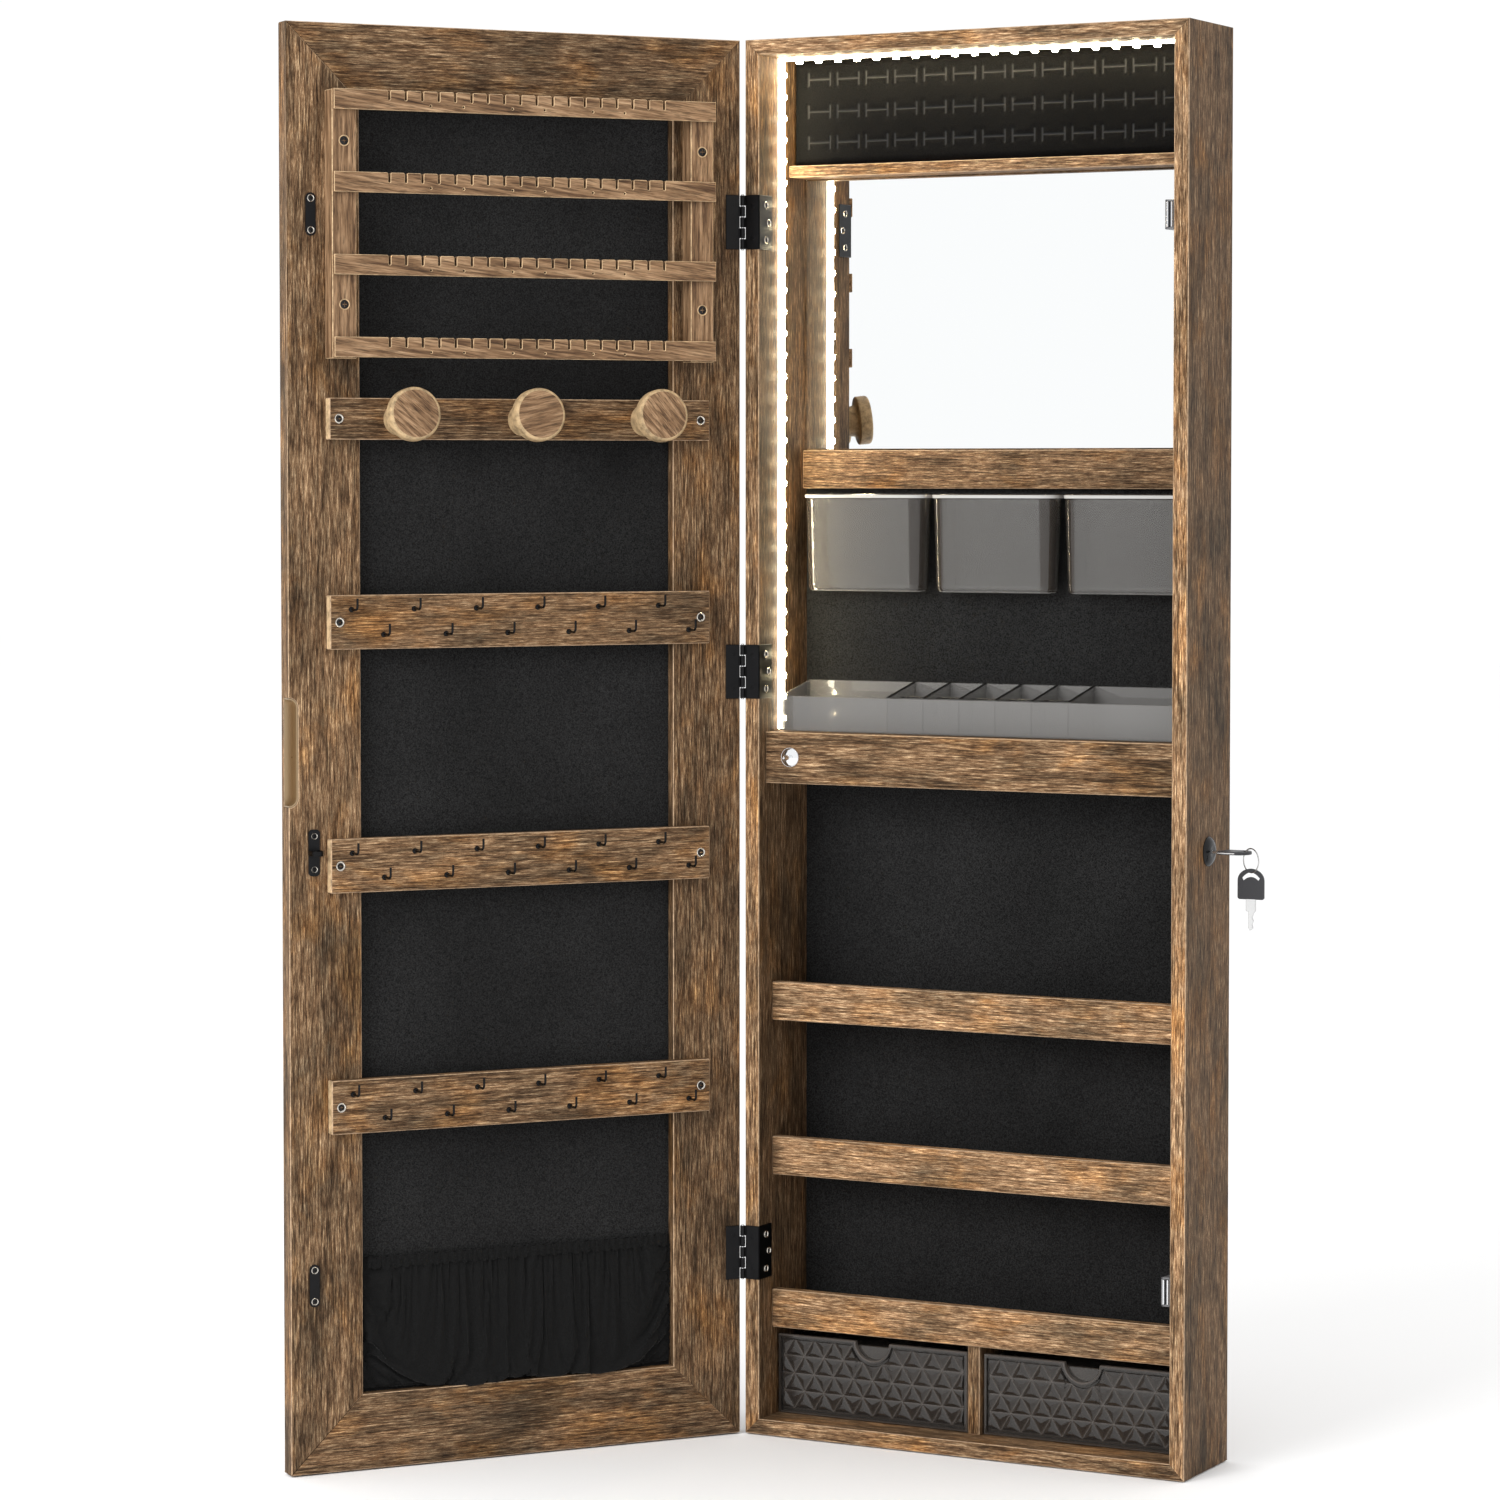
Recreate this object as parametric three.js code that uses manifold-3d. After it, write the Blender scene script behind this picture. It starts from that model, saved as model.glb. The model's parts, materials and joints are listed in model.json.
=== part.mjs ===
// Wall-hung jewelry cabinet with a mirror door, standing open. Millimetres.
// Origin: centre of the case's flat back. +X to the viewer's right, +Y into the wall, +Z up.
import * as THREE from "three";
import { mergeVertices } from "three/addons/utils/BufferGeometryUtils.js";
import Module from "manifold-3d";

// Case
const WIDTH = 370;
const HEIGHT = 1085;
const CASE_DEPTH = 86;
const BOARD = 12; // sides, top and bottom
const BACK = 5; // back panel with its velvet
const GLASS = 3;

// Pieces inside the case: heights are z, depths are measured back from the case's front edge
const CUSHION = { depth: 57, z: [448.5, 530] };
const RING_SHELF = { depth: 50, z: [439, 448] };
const MIRROR_Z = [226, 439];
const BIN_RAIL = { thick: 7, z: [196, 226] };
const BIN = { width: 106, pitch: 111, depth: 51, z: [116, 192], wall: 2, corner: 8 };
const FASCIA = { depth: 11, thick: 12, z: [-33, 7] };
const MAIN_BOARD_Z = [-5.5, 6.5];
const TRAY = { depth: 29, halfWidth: 170, front: 27.5, back: 38.5, wall: 1.6, play: 0.5 };
const TRAY_CELLS = { count: 5, pitch: 30.5, start: -77 };
const SHELF = { depth: 22, rail: 9, railHeight: 30, floor: 6 };
const SHELF_BOTTOMS = { upper_shelf: -219.5, lower_shelf: -341, drawer_shelf: -461.5 };
const DIVIDER = { depth: 26, thick: 10 };
const DRAWER = { depth: 29, play: 2, height: 62, lift: 0.5, wall: 2, notch: 14.5 };
const LED = { depth: 32, width: 8, thick: 2, bottom: 8 };
const CATCH = { thick: 8, depth: 1, length: 18, height: 22, z: [399, -402] };
const HANGER = { width: 260, height: 34, thick: 2, z: 470, play: 0.3 };
const KEYHOLE = { spacing: 200, head: 5, slot: 2.5, rise: 9 };

// Lights' door switch, on the fascia
const SWITCH = { fromWall: 22, z: -12.5, barrel: 6, bezel: 7.5, bore: 2.7, rod: 2.2, reach: 13.5 };
const BATTERY = { x: [-168, -60], back: 10, z: [-30, -6] };

// Cam lock on the right side
const LOCK = { depth: 43, z: -75, barrel: 8, dome: 11.25, plug: 4, inside: 6 };
const CAM = { thick: 2, length: 40 };
const KEY = { bowLength: 23, bowWidth: 21, bowThick: 2.4, arch: 9, blade: 7.6, bladeThick: 2, end: 34 };
const KEY_SLOT = { width: 13, from: 2.8, to: 9 }; // distances from the end of the bow
const SPARE_BLADE = { shoulder: 9, length: 23, width: 3.6 };
const RING = { radius: 9, wire: 0.6, rise: 3.5, past: 0.3, turn: -Math.PI / 6 };

// Door
const OPEN_ANGLE = 127; // degrees, as it stands
const DOOR_THICK = 16;
const DOOR_GAP = 2.5; // closed door to case front
const FRAME = 57; // width of stiles and rails
const GROOVE = { deep: 6, outer: -14, inner: -8.9 };
const AXIS_OUT = 1.6; // hinge axis, outside the case's left side
const AXIS_FRONT = 1.25; // hinge axis, in front of the case
const HINGE = {
  z: [402, 54, -400], height: 42, barrel: 2, pin: 1, sheet: 1, doorLeaf: 12.5, wallLeaf: 20,
  from: 0.8, // a leaf's flat starts this far from its edge, clear of the other leaf's knuckles
};
const PULL = { z: 41, wide: 7.5, deep: 11, sheet: 1 };
const FITTING = { from: 30, to: 340 }; // rack and rails, measured from the hinge edge
const RACK = { z: [293, 492], upright: 19, deep: 16, bar: 4.5, barHeight: 15, pitch: 61 };
const RACK_SLOTS = { count: 18, pitch: 13.12, width: 1.8, deep: 7.5, hole: 1, holeRise: 4.2 };
const RACK_HOLES = [-6, -4, -1, 1, 4, 6]; // in slot pitches from the bar's middle
const PEG_RAIL = { z: 248.5, height: 31 };
const PEG = { tilt: 6, stem: 12.5, head: 20, length: 36, headThick: 10 };
const PEG_PLACES = [84, 185, 285];
const RAIL_THICK = 9;
const HOOK_RAIL = { height: 40.5, z: [97, -85, -266] };
const HOOK = { rows: 9.5, pitch: 50, count: 6, upper: 73.5, lower: 48, wire: 1.8, reach: 14, tip: 8 };
const STRIKE = { x: 351.5, width: 8, height: 32, z: [400, -400] };
const KEEPER = { x: 350.5, width: 7, height: 35, loop: 4.5, reach: 12, thick: 1.5 };
const POCKET = { z: [-484, -383], cloth: 1.6, front: -1.2 };

const GAP = 0.3; // between pieces of the turned door that touch
const ARC = 6; // segments in a rounded corner
const ROUND = 20; // sides of a small cylinder

const LEFT = -WIDTH / 2 + BOARD; // inner faces of the case
const RIGHT = WIDTH / 2 - BOARD;
const FLOOR = -HEIGHT / 2 + BOARD;
const CEILING = HEIGHT / 2 - BOARD;
const FRONT = -CASE_DEPTH;
const VELVET = -BACK; // front of the back panel

const behind = (depth) => FRONT + depth;

const FINISH = {
  woodgrain: { color: 0x6b4a30, roughness: 0.55, metalness: 0 },
  walnut: { color: 0x8a6644, roughness: 0.5, metalness: 0 },
  velvet: { color: 0x0c0c0d, roughness: 1, metalness: 0 },
  mirror: { color: 0xe8eef0, roughness: 0.02, metalness: 1 },
  smoked: { color: 0x4a4742, roughness: 0.1, metalness: 0, transparent: true, opacity: 0.6 },
  black: { color: 0x151515, roughness: 0.4, metalness: 0.6 },
  chrome: { color: 0xd0d0d0, roughness: 0.1, metalness: 1 },
  champagne: { color: 0xb89b6c, roughness: 0.3, metalness: 1 },
  plastic: { color: 0x8c8c8c, roughness: 0.5, metalness: 0 },
  led: { color: 0xffffff, roughness: 0.4, metalness: 0 },
  cloth: { color: 0x101010, roughness: 0.95, metalness: 0 },
};

const wasm = await Module();
wasm.setup();

// ---------------------------------------------------------------- shapes

// A closed geometry as a manifold solid, its shared vertices merged.
function solidOf(geometry) {
  const bare = geometry.clone();
  bare.deleteAttribute("normal");
  bare.deleteAttribute("uv");
  const merged = mergeVertices(bare, 1e-4);
  const vertProperties = merged.attributes.position.array;
  const triVerts = new Uint32Array(merged.index.array);
  return new wasm.Manifold(new wasm.Mesh({ numProp: 3, vertProperties, triVerts }));
}

function geometryOf(solid) {
  const mesh = solid.getMesh();
  const geometry = new THREE.BufferGeometry();
  geometry.setAttribute("position", new THREE.BufferAttribute(mesh.vertProperties, 3));
  geometry.setIndex(new THREE.BufferAttribute(mesh.triVerts, 1));
  geometry.computeVertexNormals();
  return geometry;
}

function join(...pieces) {
  return geometryOf(pieces.map(solidOf).reduce((whole, piece) => whole.add(piece)));
}

function cut(body, ...tools) {
  return geometryOf(tools.map(solidOf).reduce((rest, tool) => rest.subtract(tool), solidOf(body)));
}

// A box from its lowest and highest x, y and z.
function block([x0, x1], [y0, y1], [z0, z1]) {
  const box = new THREE.BoxGeometry(x1 - x0, y1 - y0, z1 - z0);
  return box.translate((x0 + x1) / 2, (y0 + y1) / 2, (z0 + z1) / 2);
}

function outline(points) {
  return new THREE.Shape(points.map(([u, v]) => new THREE.Vector2(u, v)));
}

const X = new THREE.Vector3(1, 0, 0);
const Y = new THREE.Vector3(0, 1, 0);
const Z = new THREE.Vector3(0, 0, 1);

// An outline carried from lo to hi along an axis.
// Its two coordinates are y, z along x; x, z along y; x, y along z.
function prism(shape, axis, [lo, hi]) {
  const depth = hi - lo;
  const body = new THREE.ExtrudeGeometry(shape, { depth, bevelEnabled: false, curveSegments: ARC });
  const turn = new THREE.Matrix4();
  if (axis === "x") return body.applyMatrix4(turn.makeBasis(Y, Z, X)).translate(lo, 0, 0);
  if (axis === "y") return body.applyMatrix4(turn.makeBasis(X, Z, Y.clone().negate())).translate(0, hi, 0);
  return body.translate(0, 0, lo);
}

// A cylinder along an axis, its centre line at the two other coordinates, in x, y, z order.
function rod(axis, radius, [lo, hi], [p, q], sides = ROUND) {
  const body = new THREE.CylinderGeometry(radius, radius, hi - lo, sides);
  const middle = (lo + hi) / 2;
  if (axis === "x") return body.rotateZ(-Math.PI / 2).translate(middle, p, q);
  if (axis === "y") return body.translate(p, middle, q);
  return body.rotateX(Math.PI / 2).translate(p, q, middle);
}

// A round-cornered rectangle centred on (cx, cy).
function roundedRect(cx, cy, width, height, r) {
  const [x0, x1] = [cx - width / 2, cx + width / 2];
  const [y0, y1] = [cy - height / 2, cy + height / 2];
  const shape = new THREE.Shape();
  shape.moveTo(x0 + r, y0);
  shape.lineTo(x1 - r, y0);
  shape.absarc(x1 - r, y0 + r, r, -Math.PI / 2, 0);
  shape.absarc(x1 - r, y1 - r, r, 0, Math.PI / 2);
  shape.absarc(x0 + r, y1 - r, r, Math.PI / 2, Math.PI);
  shape.absarc(x0 + r, y0 + r, r, Math.PI, 1.5 * Math.PI);
  return shape;
}

// Moves the ends of a straight member along one coordinate, so that they are cut at 45 degrees.
function mitre(geometry, along, depthInside) {
  const position = geometry.attributes.position;
  const p = new THREE.Vector3();
  for (let i = 0; i < position.count; i++) {
    p.fromBufferAttribute(position, i);
    p[along] = Math.sign(p[along]) * (Math.abs(p[along]) - depthInside(p));
    position.setXYZ(i, p.x, p.y, p.z);
  }
  return geometry;
}

function place(group, name, finish, geometry) {
  const mesh = new THREE.Mesh(geometry, new THREE.MeshStandardMaterial(FINISH[finish]));
  mesh.name = name;
  group.add(mesh);
}

// ---------------------------------------------------------------- case

function caseBoards(group) {
  const [outX, outZ] = [WIDTH / 2, HEIGHT / 2];
  const depth = [FRONT, 0];
  const intoCase = (p) => outX - Math.abs(p.x);
  const left = block([-outX, LEFT], depth, [-outZ, outZ]);
  const right = block([RIGHT, outX], depth, [-outZ, outZ]);
  const lockHole = rod("x", LOCK.barrel + GAP, [RIGHT - 1, outX + 1], [behind(LOCK.depth), LOCK.z]);
  place(group, "case_left_side", "woodgrain", mitre(left, "z", intoCase));
  place(group, "case_right_side", "woodgrain", cut(mitre(right, "z", intoCase), lockHole));
  const top = block([-outX, outX], depth, [CEILING, outZ]);
  const bottom = block([-outX, outX], depth, [-outZ, FLOOR]);
  const intoHeight = (p) => outZ - Math.abs(p.z);
  place(group, "case_top", "woodgrain", mitre(top, "x", intoHeight));
  place(group, "case_bottom", "woodgrain", mitre(bottom, "x", intoHeight));
}

// A plate with two keyholes, let into the back so that the case hangs flat on the wall.
function backAndHanger(group) {
  const { width, height, thick, z, play } = HANGER;
  const pocket = block(
    [-width / 2 - play, width / 2 + play],
    [-thick - play, 1],
    [z - height / 2 - play, z + height / 2 + play],
  );
  const screwRoom = [-1, 1].map((side) => keyhole(side, [VELVET + 1, 0]));
  const panel = block([LEFT, RIGHT], [VELVET, 0], [FLOOR, CEILING]);
  place(group, "back_panel", "velvet", cut(panel, pocket, ...screwRoom));
  const plate = block([-width / 2, width / 2], [-thick, 0], [z - height / 2, z + height / 2]);
  const holes = [-1, 1].map((side) => keyhole(side, [-thick - 1, 1]));
  place(group, "hanging_plate", "chrome", cut(plate, ...holes));
}

function keyhole(side, depth) {
  const { spacing, head, slot, rise } = KEYHOLE;
  const x = (side * spacing) / 2;
  const z = HANGER.z - rise / 2;
  const round = rod("y", head, depth, [x, z]);
  const throat = block([x - slot, x + slot], depth, [z, z + rise]);
  return join(round, throat, rod("y", slot, depth, [x, z + rise]));
}

function ringsAndMirror(group) {
  const gap = 0.5;
  place(group, "ring_cushion", "velvet",
    block([LEFT + gap, RIGHT - gap], [behind(CUSHION.depth), VELVET - gap], CUSHION.z));
  const shelfDepth = [behind(RING_SHELF.depth), VELVET];
  place(group, "ring_shelf", "woodgrain", block([LEFT, RIGHT], shelfDepth, RING_SHELF.z));
  place(group, "case_mirror", "mirror", block([LEFT, RIGHT], [VELVET - GLASS, VELVET], MIRROR_Z));
  const binRailDepth = [VELVET - BIN_RAIL.thick, VELVET];
  place(group, "bin_rail", "woodgrain", block([LEFT, RIGHT], binRailDepth, BIN_RAIL.z));
}

function shelves(group) {
  const face = behind(FASCIA.depth);
  const inner = face + FASCIA.thick;
  const fascia = block([LEFT, RIGHT], [face, inner], FASCIA.z);
  const board = block([LEFT, RIGHT], [inner, VELVET], MAIN_BOARD_Z);
  const hole = rod("y", SWITCH.barrel + GAP, [face - 1, inner + 1], [LEFT + SWITCH.fromWall, SWITCH.z]);
  place(group, "main_shelf", "woodgrain", cut(join(fascia, board), hole));
  for (const [name, bottom] of Object.entries(SHELF_BOTTOMS)) {
    const front = behind(SHELF.depth);
    const rail = block([LEFT, RIGHT], [front, front + SHELF.rail], [bottom, bottom + SHELF.railHeight]);
    const floor = block([LEFT, RIGHT], [front + SHELF.rail, VELVET], [bottom, bottom + SHELF.floor]);
    place(group, name, "woodgrain", join(rail, floor));
  }
  const dividerX = [-DIVIDER.thick / 2, DIVIDER.thick / 2];
  place(group, "drawer_divider", "woodgrain",
    block(dividerX, [behind(DIVIDER.depth), VELVET], [FLOOR, SHELF_BOTTOMS.drawer_shelf]));
}

// The strip turns the corner from the left wall to the underside of the top.
function ledStrip(group) {
  const y = [behind(LED.depth), behind(LED.depth + LED.width)];
  const wall = block([LEFT, LEFT + LED.thick], y, [LED.bottom, CEILING]);
  const top = block([LEFT, RIGHT], y, [CEILING - LED.thick, CEILING]);
  place(group, "led_strip", "led", join(wall, top));
}

function magneticCatches(group) {
  CATCH.z.forEach((z, i) => {
    const y = [behind(CATCH.depth), behind(CATCH.depth + CATCH.length)];
    const body = block([RIGHT - CATCH.thick, RIGHT], y, [z - CATCH.height / 2, z + CATCH.height / 2]);
    place(group, `magnetic_catch_${["upper", "lower"][i]}`, "plastic", body);
  });
}

// Battery box behind the fascia; its barrel comes through and holds the bezel and the plunger.
function doorSwitch(group) {
  const x = LEFT + SWITCH.fromWall;
  const face = behind(FASCIA.depth);
  const boxFront = face + FASCIA.thick + 0.5;
  const travelRoom = 5;
  const bezel = 1.5;
  const box = block(BATTERY.x, [boxFront, -BATTERY.back], BATTERY.z);
  const barrel = rod("y", SWITCH.barrel, [face - bezel, boxFront + 1], [x, SWITCH.z]);
  const flange = rod("y", SWITCH.bezel, [face - bezel, face - GAP], [x, SWITCH.z]);
  const bore = rod("y", SWITCH.bore, [face - bezel - 1, boxFront + travelRoom], [x, SWITCH.z]);
  place(group, "battery_box", "plastic", cut(join(box, barrel, flange), bore));
  const tip = face - SWITCH.reach + GAP;
  const profile = [
    [0, tip], [1.2, tip + 1.2], [SWITCH.rod, tip + 4], [SWITCH.rod, boxFront - 2], [0, boxFront - 2],
  ];
  const plunger = new THREE.LatheGeometry(profile.map(([r, y]) => new THREE.Vector2(r, y)), ROUND);
  place(group, "switch_plunger", "chrome", plunger.translate(x, 0, SWITCH.z));
}

// ---------------------------------------------------------------- what lies in the case

function bins(group) {
  const { width, pitch, depth, z, wall, corner } = BIN;
  const y = [behind(depth), VELVET - 0.5];
  const middle = (y[0] + y[1]) / 2;
  const deep = y[1] - y[0];
  ["bin_left", "bin_middle", "bin_right"].forEach((name, i) => {
    const x = (i - 1) * pitch;
    const shell = prism(roundedRect(x, middle, width, deep, corner), "z", z);
    const inside = roundedRect(x, middle, width - 2 * wall, deep - 2 * wall, corner - wall);
    place(group, name, "smoked", cut(shell, prism(inside, "z", [z[0] + wall, z[1] + 1])));
  });
}

// Side view of the tray at a distance inside its walls: low in front and higher at the back.
function traySide(inset, rise) {
  const [y0, y1] = [behind(TRAY.depth) + inset, VELVET - TRAY.play - inset];
  const foot = MAIN_BOARD_Z[1] + TRAY.play + rise;
  const lift = rise > 0 ? 1 : 0;
  return [
    [y0, foot],
    [y1, foot],
    [y1, MAIN_BOARD_Z[1] + TRAY.back + lift],
    [y0, MAIN_BOARD_Z[1] + TRAY.front + lift],
  ];
}

function cosmeticTray(group) {
  const { halfWidth, wall } = TRAY;
  const { count, pitch, start } = TRAY_CELLS;
  const half = wall / 2;
  const end = start + count * pitch;
  const body = prism(outline(traySide(0, 0)), "x", [-halfWidth, halfWidth]);
  const well = (x0, x1) => prism(outline(traySide(wall, wall)), "x", [x0, x1]);
  const wells = [well(-halfWidth + wall, start - half), well(end + half, halfWidth - wall)];
  for (let i = 0; i < count; i++) {
    wells.push(well(start + i * pitch + half, start + (i + 1) * pitch - half));
  }
  const middle = (behind(TRAY.depth) + VELVET) / 2;
  const base = MAIN_BOARD_Z[1] + TRAY.play;
  const dividerZ = [base, MAIN_BOARD_Z[1] + TRAY.front];
  const longDivider = block([start, end], [middle - half, middle + half], dividerZ);
  place(group, "cosmetic_tray", "smoked", join(cut(body, ...wells), longDivider));
}

function drawers(group) {
  const { depth, play, height, lift, wall, notch } = DRAWER;
  const y = [behind(depth), VELVET - play];
  const z = [FLOOR + lift, FLOOR + lift + height];
  const inner = DIVIDER.thick / 2 + play;
  const outer = RIGHT - play;
  [["drawer_left", -outer, -inner], ["drawer_right", inner, outer]].forEach(([name, x0, x1]) => {
    const shell = block([x0, x1], y, z);
    const inside = block([x0 + wall, x1 - wall], [y[0] + wall, y[1] - wall], [z[0] + wall, z[1] + 1]);
    const middle = (x0 + x1) / 2;
    const finger = new THREE.Shape();
    finger.moveTo(middle - notch, z[1] + 1);
    finger.absarc(middle, z[1], notch, Math.PI, 2 * Math.PI);
    finger.lineTo(middle + notch, z[1] + 1);
    place(group, name, "smoked", cut(shell, inside, prism(finger, "y", [y[0] - 1, y[0] + wall + 1])));
  });
}

// ---------------------------------------------------------------- lock and keys

// A closed profile of radius and distance, turned about the lock's axis.
function turnedOnLock(profile) {
  const points = profile.map(([r, x]) => new THREE.Vector2(r, x));
  const turned = new THREE.LatheGeometry(points, ROUND).rotateZ(-Math.PI / 2);
  return turned.translate(0, behind(LOCK.depth), LOCK.z);
}

function camLock(group) {
  const outside = WIDTH / 2 + GAP;
  const inside = RIGHT - LOCK.inside;
  const bore = LOCK.plug + 0.25;
  const face = outside + 3.5;
  place(group, "lock_body", "black", turnedOnLock([
    [bore, inside], [LOCK.barrel, inside], [LOCK.barrel, outside], [LOCK.dome, outside],
    [LOCK.dome - 0.3, outside + 1.5], [LOCK.dome - 2.2, outside + 3], [LOCK.dome - 4.5, face],
    [bore, face], [bore, inside],
  ]));
  const camX = [inside - 0.5 - CAM.thick, inside - 0.5];
  const y = behind(LOCK.depth);
  const arm = outline([[6, 6.5], [-6, 6.5], [-6, -10], [-4.5, -CAM.length], [4.5, -CAM.length], [6, -10]]);
  const cam = prism(arm, "x", camX).translate(0, y, LOCK.z);
  const plug = rod("x", LOCK.plug, [camX[0] + 0.5, face - 0.3], [y, LOCK.z]);
  place(group, "lock_cam", "chrome", join(cam, plug));
  place(group, "key", "black", insertedKey(face, y));
}

// The bow of a key: a flat head, square where the blade leaves it and arched at its end, with a slot
// across it for the ring. Its length runs along the first coordinate.
function keyBow(end, tip) {
  const half = KEY.bowWidth / 2;
  const arch = new THREE.EllipseCurve(end - KEY.arch, 0, KEY.arch, half, -Math.PI / 2, Math.PI / 2);
  const rim = arch.getPoints(10).map((p) => [p.x, p.y]);
  const bow = outline([[tip, -half], ...rim, [tip, half]]);
  const reach = KEY_SLOT.width / 2;
  const slot = [
    [end - KEY_SLOT.to, -reach], [end - KEY_SLOT.to, reach],
    [end - KEY_SLOT.from, reach], [end - KEY_SLOT.from, -reach],
  ];
  bow.holes.push(new THREE.Path(slot.map(([u, v]) => new THREE.Vector2(u, v))));
  return bow;
}

function insertedKey(face, y) {
  const end = WIDTH / 2 + KEY.end;
  const tip = end - KEY.bowLength;
  const thick = [-KEY.bowThick / 2, KEY.bowThick / 2];
  const bow = prism(keyBow(end, tip), "z", thick);
  const half = KEY.blade / 2;
  const blade = block([face + GAP, tip + 1], [-half, half], [-KEY.bladeThick / 2, KEY.bladeThick / 2]);
  return join(bow, blade).translate(0, y, LOCK.z);
}

// The spare key hangs on a wire ring that goes through the slot of the key in the lock.
function spareKey(group) {
  const x = WIDTH / 2 + KEY.end + RING.past;
  const centre = RING.rise - RING.radius;
  const ring = new THREE.TorusGeometry(RING.radius, RING.wire, 6, ROUND);
  ring.rotateX(Math.PI / 2).rotateZ(RING.turn).translate(0, 0, centre);
  const bowTop = centre - RING.radius + KEY_SLOT.from + 0.4;
  const bow = prism(keyBow(0, -KEY.bowLength), "z", [-KEY.bowThick / 2, KEY.bowThick / 2]);
  bow.applyMatrix4(new THREE.Matrix4().makeBasis(Z, X, Y)).translate(0, 0, bowTop);
  const low = bowTop - KEY.bowLength;
  const thick = [-KEY.bladeThick / 2, KEY.bladeThick / 2];
  const { shoulder, length, width } = SPARE_BLADE;
  const neck = block([-KEY.blade / 2, KEY.blade / 2], thick, [low - shoulder, low + 1]);
  const blade = block([-width / 2, width / 2], thick, [low - length, low - shoulder + 1]);
  const spare = join(ring, bow, neck, blade);
  place(group, "spare_key", "black", spare.translate(x, behind(LOCK.depth), LOCK.z));
}

// ---------------------------------------------------------------- door

// Door pieces are drawn with the door's hinge edge at x = 0, its inner face at y = 0 and the inside at +y.

// A stile or rail: distance from the door's outer edge, then thickness, with a groove for mirror and panel.
function frameMember(length) {
  const section = outline([
    [0, -DOOR_THICK], [FRAME, -DOOR_THICK], [FRAME, GROOVE.outer], [FRAME - GROOVE.deep, GROOVE.outer],
    [FRAME - GROOVE.deep, GROOVE.inner], [FRAME, GROOVE.inner], [FRAME, 0], [0, 0],
  ]);
  const member = prism(section, "z", [-length / 2, length / 2]);
  return mitre(member, "z", (p) => p.x + GAP);
}

function doorFrame(group) {
  const down = Z.clone().negate();
  const back = X.clone().negate();
  const turn = (u, l) => new THREE.Matrix4().makeBasis(u, Y, l);
  const hingeStile = frameMember(HEIGHT);
  place(group, "door_stile_hinge", "woodgrain", hingeStile);
  const freeStile = frameMember(HEIGHT).applyMatrix4(turn(back, down)).translate(WIDTH, 0, 0);
  const notch = prism(pullOutline(0), "y", [-PULL.deep - GAP, 1]);
  place(group, "door_stile_free", "woodgrain", cut(freeStile, notch));
  const top = frameMember(WIDTH).applyMatrix4(turn(down, X)).translate(WIDTH / 2, 0, HEIGHT / 2);
  const bottom = frameMember(WIDTH).applyMatrix4(turn(Z, back)).translate(WIDTH / 2, 0, -HEIGHT / 2);
  place(group, "door_rail_top", "woodgrain", top);
  place(group, "door_rail_bottom", "woodgrain", bottom);
}

// The finger scoop in the free edge, seen on the door's inner face, made smaller by an inset.
function pullOutline(inset) {
  const wide = PULL.wide - inset;
  const r = wide;
  const z = PULL.z - inset;
  const shape = new THREE.Shape();
  shape.moveTo(WIDTH + 1, -z);
  shape.lineTo(WIDTH, -z);
  shape.absarc(WIDTH, -z + r, r, -Math.PI / 2, -Math.PI, true);
  shape.absarc(WIDTH, z - r, r, Math.PI, Math.PI / 2, true);
  shape.lineTo(WIDTH + 1, z);
  return shape;
}

function fingerPull(group) {
  const shell = prism(pullOutline(GAP), "y", [-PULL.deep, -GAP]);
  const hollow = prism(pullOutline(GAP + PULL.sheet), "y", [-PULL.deep + PULL.sheet, 1]);
  const past = block([WIDTH - GAP, WIDTH + 2], [-DOOR_THICK, 2], [-PULL.z - 2, PULL.z + 2]);
  place(group, "finger_pull", "champagne", cut(shell, hollow, past));
}

function mirrorAndPanel(group) {
  const reach = GROOVE.deep - 0.5;
  const x = [FRAME - reach, WIDTH - FRAME + reach];
  const z = [-HEIGHT / 2 + FRAME - reach, HEIGHT / 2 - FRAME + reach];
  const mirrorBack = GROOVE.outer + 0.2 + 2.5;
  place(group, "door_mirror", "mirror", block(x, [GROOVE.outer + 0.2, mirrorBack], z));
  place(group, "door_panel", "velvet", block(x, [mirrorBack + 0.2, GROOVE.inner - 0.2], z));
}

function earringRack(group) {
  const front = GAP + RACK.deep;
  const { from, to } = FITTING;
  const hingeSide = block([from, from + RACK.upright], [GAP, front], RACK.z);
  place(group, "rack_upright_hinge_side", "walnut", hingeSide);
  place(group, "rack_upright_free_side", "walnut", block([to - RACK.upright, to], [GAP, front], RACK.z));
  for (let i = 0; i < 4; i++) {
    const top = RACK.z[1] - i * RACK.pitch;
    const bar = prism(barOutline(top), "y", [front + GAP, front + GAP + RACK.bar]);
    place(group, `rack_bar_${i + 1}`, "walnut", bar);
  }
}

// Front view of a rack bar, with open slots for hooks and small holes for studs.
function barOutline(top) {
  const { count, pitch, width, deep, hole, holeRise } = RACK_SLOTS;
  const bottom = top - RACK.barHeight;
  const middle = WIDTH / 2;
  const points = [[FITTING.from, bottom], [FITTING.to, bottom], [FITTING.to, top]];
  for (let i = count - 1; i >= 0; i--) {
    const x = middle + (i - (count - 1) / 2) * pitch;
    const [x0, x1] = [x - width / 2, x + width / 2];
    points.push([x1, top], [x1, top - deep], [x0, top - deep], [x0, top]);
  }
  points.push([FITTING.from, top]);
  const shape = outline(points);
  for (const step of RACK_HOLES) {
    const ring = new THREE.EllipseCurve(middle + step * pitch, bottom + holeRise, hole, hole);
    shape.holes.push(new THREE.Path(ring.getPoints(6).slice(0, 6)));
  }
  return shape;
}

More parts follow.
